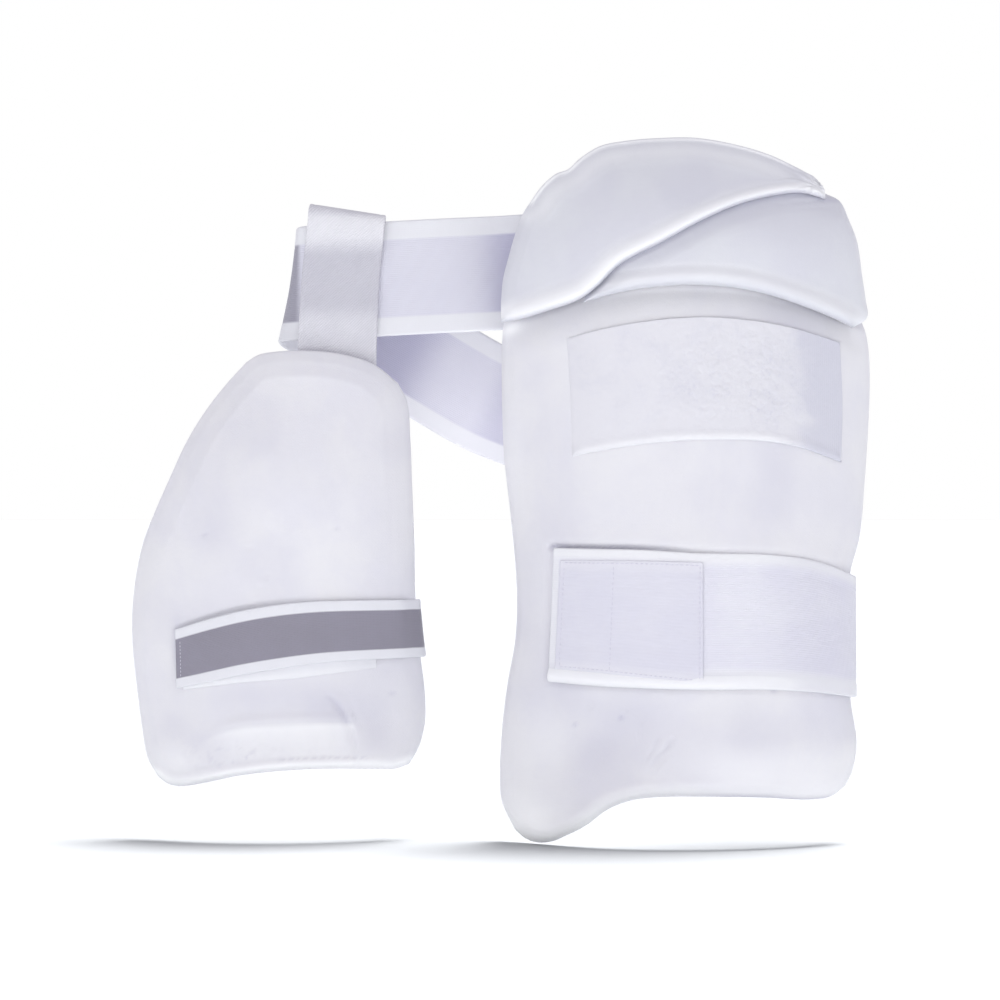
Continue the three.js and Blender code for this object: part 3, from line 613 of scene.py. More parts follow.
def ribbed_elastic(name, centre, edge, selvage_mm, width_mm, rib_mm=1.25, roughness=0.78, cross=0.35, second=None,
                   mottled=0.5, shades=(), valleys=0.08, relief=0.26, soft=0.5):
    """Woven elastic: fine ribs along its length, flatter woven edges, and cross threads."""
    n = Nodes(name, roughness, 0.12, 0.22)
    uv = n.uv()
    split = n.add("ShaderNodeSeparateXYZ", {"Vector": uv})
    u, v = split.outputs["X"], split.outputs["Y"]
    mm_v = n.math("MULTIPLY", v, 1000.0)
    mm_u = n.math("MULTIPLY", u, 1000.0)
    from_edge = n.math("MINIMUM", mm_v, n.math("SUBTRACT", width_mm, mm_v))
    middle = n.ramp(from_edge, selvage_mm - soft, selvage_mm + soft)
    rib = n.math("SINE", n.math("MULTIPLY", mm_v, 2 * math.pi / rib_mm))
    pick = n.math("SINE", n.math("MULTIPLY", mm_u, 2 * math.pi / 0.9))
    thread = n.math("MULTIPLY", rib, pick)
    height = n.math("ADD", n.math("MULTIPLY", rib, n.math("ADD", n.math("MULTIPLY", middle, 0.8), 0.2)),
                    n.math("MULTIPLY", n.math("ADD", pick, n.math("MULTIPLY", thread, 0.6)), cross))
    p = n.position()
    wear = n.ramp(n.noise(p, 28.0, 4.0, 0.65), 0.35, 0.68)
    inside = n.mix(n.math("MULTIPLY", wear, mottled), centre, second or edge)
    colour = n.mix(middle, edge, inside)
    for start, end, full, amount, tint in shades:    # tinted stretches between lengths in mm; on the belt they are painted shade
        share = n.math("MULTIPLY", n.ramp(mm_u, start, start + full), n.ramp(mm_u, end, end - full))
        colour = n.mix(n.math("MULTIPLY", n.math("MULTIPLY", share, n.math("ADD", n.math("MULTIPLY", middle, 0.9), 0.1)),
                              amount), colour, tint)
    # painted shade: darker in the valleys between the ribs
    valley = n.ramp(n.math("MULTIPLY", height, -1.0), 0.2, 1.5)
    colour = n.mix(n.math("MULTIPLY", valley, valleys), colour, (centre[0] * 0.55, centre[1] * 0.55, centre[2] * 0.62, 1))
    normal = n.bump(height, relief, 0.0003)
    normal = n.bump(n.noise(p, 700.0, 2.0), 0.18, 0.0003, normal)
    normal = n.bump(n.noise(p, 40.0, 3.0), 0.15, 0.002, normal)
    # the tone attribute lays on painted highlights in srgb(238, 238, 242) and painted shade in srgb(160, 158, 182)
    return n.finish(n.painted_light_and_marks(colour, srgb(238, 238, 242), srgb(160, 158, 182)), normal)


def twill(name, light, shade):
    """Webbing in a diagonal twill."""
    n = Nodes(name, 0.8, 0.2, 0.22)
    split = n.add("ShaderNodeSeparateXYZ", {"Vector": n.uv()})
    mm_u = n.math("MULTIPLY", split.outputs["X"], 1000.0)
    mm_v = n.math("MULTIPLY", split.outputs["Y"], 1000.0)
    slant = n.math("SINE", n.math("MULTIPLY", n.math("SUBTRACT", mm_u, mm_v), 2 * math.pi / 1.9))
    other = n.math("SINE", n.math("MULTIPLY", n.math("ADD", mm_u, mm_v), 2 * math.pi / 0.95))
    height = n.math("ADD", slant, n.math("MULTIPLY", other, 0.22))
    p = n.position()
    # painted shade: darker where the twill lies low
    colour = n.mix(n.math("ADD", n.math("MULTIPLY", n.ramp(height, 1.0, -1.2), 0.5), 0.12), light, shade)
    colour = n.mix(n.math("MULTIPLY", n.ramp(n.noise(p, 45.0, 4.0, 0.65), 0.4, 0.7), 0.3), colour, shade)
    normal = n.bump(height, 0.2, 0.00035)
    normal = n.bump(n.noise(p, 800.0, 2.0), 0.12, 0.0003, normal)
    # the tone attribute lays on a painted highlight in srgb(236, 235, 238) and painted shade in srgb(166, 164, 178)
    return n.finish(n.painted_light_and_marks(colour, srgb(236, 235, 238), srgb(166, 164, 178)), normal)


def loop_pile(name, light, shade):
    """Fuzzy loop pile: tangled small loops, rubbed flat in patches."""
    n = Nodes(name, 0.95, 0.45, 0.12)
    p = n.position()
    tangle = n.noise(p, 520.0, 4.0, 0.7, 1.2)
    loops = n.add("ShaderNodeTexVoronoi", {"Vector": p, "Scale": 620.0}, feature="F1").outputs["Distance"]
    patch = n.ramp(n.noise(n.turned(p, (0, 0, 0), (1, 1, 1.0)), 26.0, 5.0, 0.7, 0.6), 0.45, 0.66)
    fleck = n.ramp(n.noise(p, 260.0, 3.0, 0.7), 0.5, 0.68)
    scuffed = n.math("MAXIMUM", n.math("MULTIPLY", n.tone(), -1.0), 0.12)
    colour = n.mix(n.math("MULTIPLY", patch, 0.2), light, shade)
    colour = n.mix(n.math("MULTIPLY", n.math("MULTIPLY", fleck, n.math("ADD", n.math("MULTIPLY", patch, 0.8), 0.2)), scuffed),
                   colour, shade)
    # the right end is woven flat, without pile, and looks greyer
    x = n.add("ShaderNodeSeparateXYZ", {"Vector": p}).outputs["X"]
    flat = n.ramp(n.math("ADD", x, n.math("MULTIPLY", n.math("SUBTRACT", n.noise(p, 60.0, 3.0), 0.5), 0.03)), 0.134, 0.152)
    colour = n.mix(n.math("MULTIPLY", flat, 0.75), colour, shade)
    ribs = n.math("SINE", n.math("MULTIPLY", x, 2000 * math.pi / 1.3))
    normal = n.bump(n.math("MULTIPLY", ribs, flat), 0.2, 0.0003)
    standing = n.math("ADD", n.math("MULTIPLY", scuffed, 0.75), 0.25)
    normal = n.bump(n.math("MULTIPLY", tangle, standing), 0.5, 0.0008, normal)
    normal = n.bump(n.math("MULTIPLY", loops, standing), 0.3, 0.0005, normal)
    # the tone attribute lays on a painted highlight in srgb(240, 240, 243)
    return n.finish(n.painted_light_and_marks(colour, srgb(240, 240, 243)), normal)


def thread_cloth(name, colour, roughness=0.65):
    n = Nodes(name, roughness, 0.15, 0.25)
    p = n.position()
    twist = n.noise(p, 1500.0, 2.0)
    return n.finish(n.mix(n.math("MULTIPLY", n.ramp(twist, 0.4, 0.7), 0.3), colour,
                          (colour[0] * 0.7, colour[1] * 0.7, colour[2] * 0.75, 1)), n.bump(twist, 0.3, 0.0002))


# painted shade on the belt, by lengths along it from behind the outer pad: next to the hip guard, at the left fold, and
# on the back stretch beside the webbing and beside the outer pad
BELT_PAINTED_SHADE = [(62, 144, 28, 0.72, srgb(176, 174, 201)), (247, 330, 6, 1.0, srgb(156, 154, 167)),
               (336, 422, 34, 0.62, srgb(156, 154, 184)), (444, 486, 20, 0.3, srgb(160, 158, 190))]
PAD = cover_cloth("pad_cloth", srgb(226, 225, 229), srgb(221, 220, 227), sheen=0.12)
HIP = cover_cloth("hip_cloth", srgb(214, 215, 221), srgb(209, 209, 218), roughness=0.38, sheen=0.10, specular=0.45, weave=0.7, blotch=11.0)
PILE = loop_pile("loop_pile_cloth", srgb(219, 218, 224), srgb(200, 200, 213))
WHITE_ELASTIC = ribbed_elastic("white_elastic_cloth", srgb(217, 216, 227), srgb(228, 228, 232), 10.5, 80, mottled=0.35, cross=0.15, relief=0.16, soft=3.0,
                               shades=[(-5, 5.2, 1.0, 0.9, srgb(226, 226, 231))])
END_ELASTIC = ribbed_elastic("strap_end_cloth", srgb(211, 210, 222), srgb(216, 215, 224), 5, 68, rib_mm=1.9, cross=0.1,
                             valleys=0.03, relief=0.12, soft=3.0)
TAB_CLOTH = cover_cloth("tab_cloth", srgb(225, 225, 230), srgb(221, 221, 227), sheen=0.1, weave=0.5, pits=0.0)
GREY_ELASTIC = ribbed_elastic("grey_elastic_cloth", srgb(141, 138, 150), srgb(222, 222, 228), 6, 36.2, rib_mm=1.0, cross=0.5,
                              second=srgb(146, 143, 157))
BELT_ELASTIC = ribbed_elastic("belt_elastic_cloth", srgb(213, 212, 224), srgb(225, 225, 230), 11.5, 71, rib_mm=1.2, shades=BELT_PAINTED_SHADE, cross=0.15, soft=1.0,
                              second=srgb(217, 216, 226))
TWILL = twill("twill_webbing_cloth", srgb(221, 220, 226), srgb(193, 192, 201))
LILAC_THREAD = thread_cloth("lilac_thread", srgb(208, 206, 220))


def piece(obj, material, slot, *nodes, fill=None):
    obj.data.materials.clear()
    obj.data.materials.append(material)
    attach(obj, BODY)
    if nodes:
        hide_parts(*nodes)
    return obj


# ------------------------------------------------------------------ outer pad
def moulded(name, edges, cell, rim, shape):
    E = edge_lines(edges)
    width = (lengths(E["bottom"])[-1] + lengths(E["top"])[-1]) / 2
    height = (lengths(E["left"])[-1] + lengths(E["right"])[-1]) / 2
    us, vs = stations(width, rim, cell), stations(height, rim, cell)
    X, Z = coons(edges, us, vs)
    outline = thin(np.vstack([E["bottom"], E["right"], E["top"][::-1], E["left"][::-1]]), 2.5)
    s, _ = distance(X, Z, outline)
    s[[0, -1], :] = 0
    s[:, [0, -1]] = 0
    front, edge, back, paint = shape(X, Z, s, {k: thin(v, 2.5) for k, v in E.items()})
    border = np.zeros(X.shape, bool)
    border[[0, -1], :] = True
    border[:, [0, -1]] = True
    F = np.stack([X, np.where(border, edge, front), Z], -1)
    B = np.stack([X, np.where(border, edge, back), Z], -1)
    return skin(name, F, B, paint=paint), F


strap_top = smooth_table(OUTER_STRAP_FRONT, 1)
strap_bottom = smooth_table(OUTER_STRAP_FRONT, 2)
inner_top = smooth_table(INNER_STRAP_FRONT, 1)
inner_bottom = smooth_table(INNER_STRAP_FRONT, 2)


def beside_strap(X, Z, left, top, bottom, reach=8.0):
    """A soft swelling of the pad beside a strap's edges."""
    out = np.maximum(np.maximum(Z - top(X), bottom(X) - Z), left - X)
    return np.exp(-((np.clip(out - 3.5, -50, 50) / reach) ** 2)) * smooth(out / 2.5)


def outer_shape(X, Z, s, E):
    base = outer_surface(X, Z) + top_recess(X, Z)
    from_bottom, _ = distance(X, Z, E["bottom"])
    foot = smooth((X + 36) / 14) * (1 - smooth((X - 66) / 40))
    roll = -2.3 * bump_at(from_bottom, 6.0, 5.5) * foot + 0.4 * bump_at(from_bottom, 17, 6) * foot
    x0, z0 = at(612, 740)
    deep = np.exp(-(((X - x0) / 44) ** 2 + ((Z - z0 - 0.35 * (X - x0)) / 25) ** 2))
    hollow = 5.6 * deep
    x1, z1 = at(556, 690)
    hollow = hollow + 1.4 * np.exp(-(((X - x1) / 22) ** 2 + ((Z - z1) / 46) ** 2))
    # the pad leans back as it goes up under the hip guard, and is pressed in along the strap's upper edge
    hollow = hollow + 6.0 * smooth((Z - rim_z(X) + 25) / 27) ** 1.3
    hollow = hollow + groove_above(X, Z, strap_top, -12, 120, 90, 4.0, 1.7)
    swell = -1.1 * beside_strap(X, Z, -11, strap_top, strap_bottom)
    folds = sum(d * crease(X, Z, pts, w) for d, w, pts in (
        (1.5, 1.2, [(672, 731), (662, 744), (646, 762)]), (1.0, 1.1, [(656, 731), (650, 745), (641, 758)]),
        (1.1, 1.1, [(668, 745), (657, 756), (649, 768)]), (0.7, 1.1, [(640, 714), (636, 728), (640, 742)]), (0.5, 2.4, [(616, 700), (628, 708), (640, 722)])))
    wide = 0.5 * noise(X, Z, 80, 3) + pits_at(X, Z, [(574, 722), (590, 703), (617, 716), (622, 706), (769, 687), (600, 725)])
    front = base + (hollow + swell + folds + wide) * smooth(s / 12) + roll * smooth(s / 3)
    thick = OUTER_THICK - top_recess(X, Z)
    h = profile_through(s, [(-2, 0), (0, 0), (0.6, 0.28), (3, 0.62), (8, 0.9), (16, 1)], 0.5)
    hb = np.sqrt(np.clip(1 - (1 - np.clip(s / 5, 0, 1)) ** 2, 0, 1))
    edge = base + 0.5 * thick
    seam = 0.5 * bump_at(s, 9, 1.1)
    # painted highlights: lighter along the rolled bottom edge of the foot and at its tip, in a strip down the left
    # side, toward the lower right, and on the fold at the top left corner
    white = bump_at(from_bottom, 2.2, 4.9) * np.maximum(foot, 1 - smooth((X + 18) / 20)) * (1 - 0.5 * smooth((X - 5) / 30))
    x4, z4 = at(528, 822)
    white = white + 0.85 * (1 - white) * np.exp(-(((X - x4) / 22) ** 2 + ((Z - z4) / 18) ** 2))
    x5, z5 = at(548, 745)
    white = white + 0.3 * (1 - white) * np.exp(-(((X - x5) / 15) ** 2 + ((Z - z5) / 26) ** 2))
    x8, z8 = at(512, 455)
    white = white + 0.28 * (1 - white) * np.exp(-(((X - x8) / 8) ** 2 + ((Z - z8) / 45) ** 2))
    white = white + 0.3 * (1 - white) * smooth((X - 60) / 40) * smooth((-278 - Z) / 20)
    x2, z2 = at(511, 328)
    ear = np.exp(-(((X - x2 - 0.9 * (Z - z2)) / 8) ** 2 + ((Z - z2) / 5) ** 2))
    # painted shade: in the foot's hollow, along the bottom edge of the right part, inside the left edge, on the middle
    # and lower right of the face, in the two creases and the dimples, and a painted shadow along the strap's upper
    # edge; also faint random mottling
    xa, za = at(597, 748)
    shade = 0.25 * np.exp(-(((X - xa) / 26) ** 2 + ((Z - za - 0.3 * (X - xa)) / 17) ** 2)) + 0.75 * bump_at(from_bottom, 0.6, 1.5) * smooth((X - 52) / 22) * (1 - smooth((X - 158) / 8))
    x3, z3 = at(556, 600)
    shade = shade + 0.16 * np.exp(-(((X - x3) / 16) ** 2 + ((Z - z3) / 90) ** 2)) + 0.14 * smooth(noise(X, Z, 46, 2, 23) * 2.2)
    x6, z6 = at(705, 498)
    shade = shade + 0.1 * np.exp(-(((X - x6) / 50) ** 2 + ((Z - z6) / 22) ** 2))
    x7, z7 = at(722, 716)
    shade = shade + 0.1 * np.exp(-(((X - x7) / 52) ** 2 + ((Z - z7) / 17) ** 2))
    shade = shade + 0.09 * crease(X, Z, [(672, 731), (662, 744), (646, 762)], 1.3)
    shade = shade + 0.05 * crease(X, Z, [(656, 731), (650, 745), (641, 758)], 1.3)
    shade = shade + 0.45 * pits_at(X, Z, [(574, 722), (619, 714), (769, 687)])
    shade = shade + groove_above(X, Z, strap_top, -12, 75, 45, 0.45, 1.3)
    white = white + 0.9 * ear - shade * (1 - ear) * (1 - np.clip(white, 0, 1))
    return edge + (front - edge) * h, edge, edge + (base + thick - edge) * hb - seam, white


outer_pad, outer_grid = moulded("outer_pad_cover", OUTER_EDGES, 1.5, 7, outer_shape)
piece(outer_pad, PAD, "pad_cover", "outer_pad", fill=0.85)


# ------------------------------------------------------------------ hip guard
def upper_shape(X, Z, s, E):
    from_bottom, _ = distance(X, Z, E["bottom"])
    from_top, where_top = distance(X, Z, E["top"])
    face = hip_surface(X, Z) - 1.2 * (1 - smooth(from_bottom / 12))
    right = smooth((X + 40) / 180)                      # the roll thins out towards the gathered tip
    radius = 5.5 - 2.2 * right
    rolled = tube_on(from_bottom, radius, radius, 3.2 - 0.8 * right)
    valley = 0.3 * bump_at(from_bottom, 2 * radius + 5, 5)
    face = face - rolled + valley
    x0, z0 = at(660, 215)
    face = face - 1.6 * np.exp(-(((X - x0) / 46) ** 2 + ((Z - z0) / 22) ** 2)) + 0.5 * noise(X, Z, 60, 3, 31)
    # soft gathers where the lobe is drawn together at its right tip
    tip_x, tip_z = 152, 54
    far = np.hypot(X - tip_x, Z - tip_z)
    angle = np.arctan2(Z - tip_z, X - tip_x)
    face = face + 0.8 * np.exp(-((far / 13) ** 2)) * smooth(far / 4) * np.cos(angle * 12 + 0.5 * np.sin(far / 2.3))
    # a notch in the top edge where two cover panels meet
    notch_x, notch_z = at(562, 172)
    face = face + 1.4 * np.exp(-(((X - notch_x) / 4) ** 2 + ((Z - notch_z) / 7) ** 2))
    thick = 7.5 + rolled + (HIP_THICK - 7.5) * smooth((from_bottom - 2) / 14)
    edge = face + 0.55 * thick
    side = profile_through(s, [(-2, 0), (0, 0), (0.6, 0.3), (3.5, 0.75), (9, 1)], 0.4)
    # along the top: a thin piped rim, a leaning side wall, then a bevel up to the face
    crown = profile_through(from_top, [(-2, 0), (0, 0), (0.4, 0.26), (1.7, 0.36), (2.3, 0.26), (6.6, 0.6), (14.5, 1)], 0.3)
    top_share = smooth((Z - 8) / 30) * (1 - smooth((X - 126) / 24))
    h = side * (1 - top_share) + np.minimum(side, crown) * top_share
    low = np.sqrt(np.clip(1 - (1 - np.clip(from_bottom / 2.6, 0, 1)) ** 2, 0, 1))
    h = np.where(from_bottom < 9, np.minimum(np.where(s < from_bottom - 0.3, h, 1), low), h)
    hb = np.sqrt(np.clip(1 - (1 - np.clip(s / 3, 0, 1)) ** 2, 0, 1))
    # painted highlights: lighter on the roll along the lower edge and a band just inside it, along the top band and its
    # piped rim, and on the gathers at the right tip; then faint random darker mottling where there is little highlight
    white = np.clip(rolled / 2.4, 0, 1) ** 0.7 * smooth(from_bottom / 3.0) * 0.8
    white = white + 0.25 * (1 - white) * bump_at(from_bottom, 2 * radius, 3.5)
    white = np.maximum(white, 0.35 * top_share * bump_at(from_top, 9.5, 6.0))
    white = np.maximum(white, 0.95 * top_share * bump_at(from_top, 1.3, 1.0))
    white = np.maximum(white, 0.8 * np.exp(-((far / 9) ** 2)) * (0.7 + 0.3 * np.cos(angle * 12)))
    white = white - 0.14 * (white < 0.2) * smooth(noise(X, Z, 40, 2, 77) * 2.2)
    return edge + (face - edge) * h, edge, edge + (face + thick - edge) * hb, white


def lower_shape(X, Z, s, E):
    from_bottom, _ = distance(X, Z, E["bottom"])
    d = below_crease(X, Z)
    face = hip_surface(X, Z) + 3.6 * (1 - smooth(d / 12)) + 8.8 * smooth(-d / 5)
    rolled = tube_on(from_bottom, 5.2, 5.3, 3.2) * smooth(d / 4.5)
    valley = 0.3 * bump_at(from_bottom, 15, 5) * smooth((d - 4) / 10)
    valley = valley + 0.8 * bump_at(d, 0.3, 1.6)          # the dark line under the upper lobe's roll
    x0, z0 = at(770, 240)
    puff = 1.8 * np.exp(-(((X - x0) / 42) ** 2 + ((Z - z0) / 17) ** 2)) * smooth((d - 4) / 12)
    face = face - rolled + valley - puff + 0.5 * noise(X, Z, 55, 3, 57) * smooth(d / 8)
    thick = TUCK_THICK + (HIP_THICK - TUCK_THICK + 0.5 * (1 - smooth((from_bottom - 2) / 12))) * smooth((d - 1) / 11)
    edge = face + 0.55 * thick
    # small puckers under the crease, near its right end
    x1, z1 = at(808, 203)
    face = face + 0.8 * np.exp(-(((X - x1) / 15) ** 2 + ((Z - z1) / 6) ** 2)) * np.cos((Z - z1 - 0.12 * (X - x1)) * 1.5)
    low = np.sqrt(np.clip(1 - (1 - np.clip(from_bottom / 3.2, 0, 1)) ** 2, 0, 1))
    h = profile_through(s, [(-2, 0), (0, 0), (0.6, 0.3), (3.2, 0.78), (8, 1)], 0.4)
    h = np.where(from_bottom < 9, np.minimum(np.where(s < from_bottom - 0.3, h, 1), low), h)
    hb = np.sqrt(np.clip(1 - (1 - np.clip(s / 3, 0, 1)) ** 2, 0, 1))
    # painted highlights on the roll along the lower edge and a band just inside it; painted shade in the crease under
    # the upper lobe's roll and faintly below it
    white = np.clip(rolled / 2.8, 0, 1) ** 0.7 * smooth((from_bottom - 0.8) / 5.5) * 0.34
    white = white + 0.25 * (1 - white) * bump_at(from_bottom, 10.5, 3.5) * smooth(d / 7)
    white = white - (1 - np.clip(white, 0, 1)) * (0.3 * bump_at(d, 0.0, 1.4) + 0.05 * bump_at(d, 4.0, 6.0))
    return edge + (face - edge) * h, edge, edge + (face + thick - edge) * hb, white


hip_upper, upper_grid = moulded("hip_upper_cover", UPPER_EDGES, 1.1, 8, upper_shape)
piece(hip_upper, HIP, "hip_cover", "hip_guard_upper", fill=0.8)
hip_lower, lower_grid = moulded("hip_lower_cover", LOWER_EDGES, 1.1, 8, lower_shape)
piece(hip_lower, HIP, "hip_cover", "hip_guard_lower", fill=0.8)


# ------------------------------------------------------------------ inner pad
def inner_shape(X, Z, s, E):
    base = inner_surface(X, Z)
    from_bottom, _ = distance(X, Z, E["bottom"])
    # the fold across the foot: below it the cover is drawn in under the pad, down to the rolled hem
    fold = smooth_table([at(150, 775), at(185, 752), at(205, 738), at(230, 728), at(262, 723.5), at(300, 722), at(350, 722),
                         at(372, 727), at(395, 735), at(420, 742)])
    under = smooth((fold(X) - Z) / 3.5)
    end_l, end_r = at(196, 725)[0], at(351, 725)[0]
    span = smooth((X - end_l) / 26) * (1 - smooth((X - end_r) / 3.0))
    depth = np.clip((fold(X) - Z) / 22, 0, 1)
    tuck = 4.6 * under * depth * span
    brow = -1.3 * bump_at(Z - fold(X), 2.0, 3.0) * span + 0.5 * bump_at(Z - fold(X), 9, 5) * span
    pull = 1.9 * crease(X, Z, [(326, 695), (337, 705), (345, 718), (350, 733), (353, 750)], 1.6)
    pull = pull - 0.7 * crease(X, Z, [(333, 694), (345, 705), (354, 721), (359, 740)], 2.6)
    pull = pull + 0.5 * crease(X, Z, [(338, 700), (352, 712), (362, 728)], 1.3)
    x0, z0 = at(378, 724)
    dark = 2.4 * np.exp(-(((X - x0) / 15) ** 2 + ((Z - z0) / 12) ** 2))
    # rucked cloth above the hem
    x1, z1 = at(238, 756)
    ruck = np.exp(-(((X - x1) / 36) ** 2 + ((Z - z1) / 8) ** 2))
    tuck = tuck + ruck * (0.9 * noise(X, Z, 4.5, 3, 71) + 0.6 * noise(X, Z, 9, 2, 3))
    for px in (226, 243, 262, 281, 300, 318, 334):
        pull = pull + 0.35 * crease(X, Z, [(px, 727), (px + 1.5, 738), (px + 1, 750)], 1.5)
    swell = -0.3 * beside_strap(X, Z, -238, inner_top, inner_bottom, 6)
    lip = -2.3 * bump_at(from_bottom, 3.6, 2.6) + 0.9 * bump_at(from_bottom, 8.2, 1.3) * (1 - smooth((X - end_r + 6) / 14))
    wide = 0.4 * noise(X, Z, 70, 3, 13) + pits_at(X, Z, [(338, 528), (204, 535), (266, 577), (260, 586), (392, 694), (250, 548)])
    dent = groove_above(X, Z, inner_top, -241, -150, 60, 3.0, 1.6)
    front = base + (tuck + brow + pull + dark + swell + wide + dent) * smooth(s / 10) + lip * smooth(s / 3)
    # round the top left: a leaning side wall, then a bevel; down the sides a plain rounded edge
    high = smooth((Z + 235) / 110)
    left = 1 - smooth((X + 122) / 34)
    walled = profile_through(s, [(-2, 0), (0, 0), (0.5, 0.14), (6.6, 0.6), (16, 1)], 0.4)
    plain = profile_through(s, [(-2, 0), (0, 0), (0.6, 0.3), (3, 0.66), (10, 1)], 0.5)
    share = high * (0.25 + 0.75 * left)
    h = plain * (1 - share) + walled * share
    edge = base + 0.6 * INNER_THICK
    hb = np.sqrt(np.clip(1 - (1 - np.clip(s / 5, 0, 1)) ** 2, 0, 1))
    seam = 0.5 * bump_at(s, 8, 1.1)
    # painted highlights: lighter along the rolled hem, on the band below the fold, and at the lower left corner
    white = 0.85 * bump_at(from_bottom, 3.2, 2.8) * smooth(s / 1.0) + 0.58 * under * span * np.exp(-np.clip(fold(X) - Z, 0, 60) / 10)
    x2, z2 = at(176, 763)
    white = white + 0.4 * (1 - white) * np.exp(-(((X - x2) / 17) ** 2 + ((Z - z2) / 9) ** 2))
    # painted shade: darker patches on the face and above the fold, a painted shadow beside the fold's right end and one
    # left of the strap's end
    spots = ((0.20, 330, 706, 30, 20), (0.07, 180, 728, 26, 18), (0.40, 176, 648, 4, 20), (0.18, 216, 522, 30, 40),
             (0.12, 380, 515, 24, 60), (0.16, 376, 730, 14, 24), (0.20, 262, 700, 75, 22))
    shade = 0.0
    for share, px, py, rx, ry in spots:
        sx, sz = at(px, py)
        shade = shade + share * np.exp(-(((X - sx) / (rx * MM_PER_PIXEL)) ** 2 + ((Z - sz) / (ry * MM_PER_PIXEL)) ** 2))
    # a short row of stitches and a rucked, mottled place above the hem
    row, _ = distance(X, Z, line([(282, 759), (322, 757.5), (366, 758.5)]))
    shade = shade + 0.45 * bump_at(row, 0, 0.75) * (np.sin(X * 2.3) > -0.35)
    shade = shade + 0.34 * ruck * smooth(noise(X, Z, 2.8, 2, 91) * 2)
    # painted shade along the crease and in the dimples, then faint random mottling
    shade = shade + 0.2 * crease(X, Z, [(326, 695), (337, 705), (345, 718), (350, 733), (353, 750)], 1.8)
    shade = shade + 0.25 * pits_at(X, Z, [(338, 528), (204, 535), (392, 694)])
    shade = shade + 0.10 * smooth(noise(X, Z, 38, 2, 19) * 2.2)
    white = white - shade * (1 - np.clip(white, 0, 1))
    return edge + (front - edge) * h, edge, edge + (base + INNER_THICK - edge) * hb - seam, white


inner_pad, inner_grid = moulded("inner_pad_cover", INNER_EDGES, 1.35, 8, inner_shape)
piece(inner_pad, PAD, "pad_cover", "inner_pad", fill=0.85)


# ------------------------------------------------------------------ loop pile panel
def panel_shape(X, Z, s, E):
    face = outer_surface(X, Z) - GAP - PANEL_THICK
    # the pile stands up and is scuffed right of the middle, and lies flatter elsewhere
    x0, z0 = at(738, 385)
    scuffed = 0.2 + 0.8 * np.exp(-(((X - x0) / 42) ** 2 + ((Z - z0) / 34) ** 2))
    pile = scuffed * (0.55 * noise(X, Z, 2.0, 2, 5) + 0.5 * noise(X, Z, 5.0, 2, 9)) + 0.3 * noise(X, Z, 34, 2, 17)
    from_bottom, _ = distance(X, Z, E["bottom"])
    lip = -1.1 * bump_at(from_bottom, 2.6, 2.8)
    from_left, _ = distance(X, Z, E["left"])
    face = face + 1.6 * (1 - smooth(from_left / 18)) + 0.5 * smooth((X - 140) / 20)     # its left edge lies almost flush
    front = face + (pile + lip) * smooth(s / 0.9)
    edge = face + 0.6 * PANEL_THICK
    rim = 0.8 + 3.0 * (1 - smooth(from_left / 12))
    h = np.sqrt(np.clip(1 - (1 - np.clip(s / rim, 0, 1)) ** 2, 0, 1))
    # painted highlight along the lower lip; lower values mark the scuffed pile right of the middle
    white = 0.5 * bump_at(from_bottom, 2.4, 2.8) * smooth(from_left / 8) * (1 - smooth((X - 118) / 26))
    white = white - np.where(white > 0.1, 0, 0.75 * np.exp(-(((X - x0) / 40) ** 2 + ((Z - z0) / 30) ** 2)))
    return edge + (front - edge) * h, edge, edge + (outer_surface(X, Z) - GAP - edge) * h, white


panel, panel_grid = moulded("loop_pile_panel", PANEL_EDGES, 0.75, 1.2, panel_shape)
piece(panel, PILE, "loop_pile", "loop_panel")


# ------------------------------------------------------------------ straps
def front_points(table, surface, lift, step, slant=0.0):
    top, bottom = smooth_table(table, 1), smooth_table(table, 2)
    x0, x1 = table[0][0], table[-1][0]
    xs = np.linspace(x0, x1, int(round((x1 - x0) / step)) + 1)
    shift = slant * np.maximum(0, 1 - np.arange(len(xs)) / 3)
    xt = xs + shift
    A = np.stack([xs, surface(xs, bottom(xs)) - lift, bottom(xs)], -1)
    B = np.stack([xt, surface(xt, top(xs)) - lift, top(xs)], -1)
    return A, B


def strap(table, wrap, surface, lean, lift, slant, top_in=0.0):
    A, B = front_points(table, surface, lift, 12, slant)
    A = np.vstack([A, [(x, y + lean * b, b) for x, y, t, b in wrap]])
    B = np.vstack([B, [(x - top_in * w, y + lean * t, t) for w, (x, y, t, b) in zip([0.3, 0.75, 1, 1, 0.8, 0.4] + [0] * 20, wrap)]])
    return A, B


A, B = strap(OUTER_STRAP_FRONT, OUTER_STRAP_WRAP, outer_surface, OUTER_LEAN, GAP, END_SLANT)
woven_edges = selvages(9)
outer_strap, outer_strap_grid = band("outer_strap_elastic", A, B, STRAP_THICK, False, 1, across=44, wave=0.25,
                                     # the lower edge is folded over under the sewn end, which makes a fuller lip
                                     profile=lambda v, width, along: woven_edges(v, width, along)
                                     + 1.9 * bump_at(v, 3.2, 2.9)[None] * (1 - smooth((along[:, None] - 85) / 60)),
                                     # painted highlight on the fuller lower lip, painted shade in a line above it, and
                                     # painted shade toward the right end of the front
                                     paint=lambda v, width, along, front: (1 - smooth((along - 95) / 70))
                                     * (0.75 * bump_at(v, 3.4, 3.2) - 0.4 * bump_at(v, 8.4, 1.0)) - 0.16 * smooth((along - 120) / 50) * (1 - smooth((along - 190) / 20)))
piece(outer_strap, WHITE_ELASTIC, "white_elastic", "outer_strap")

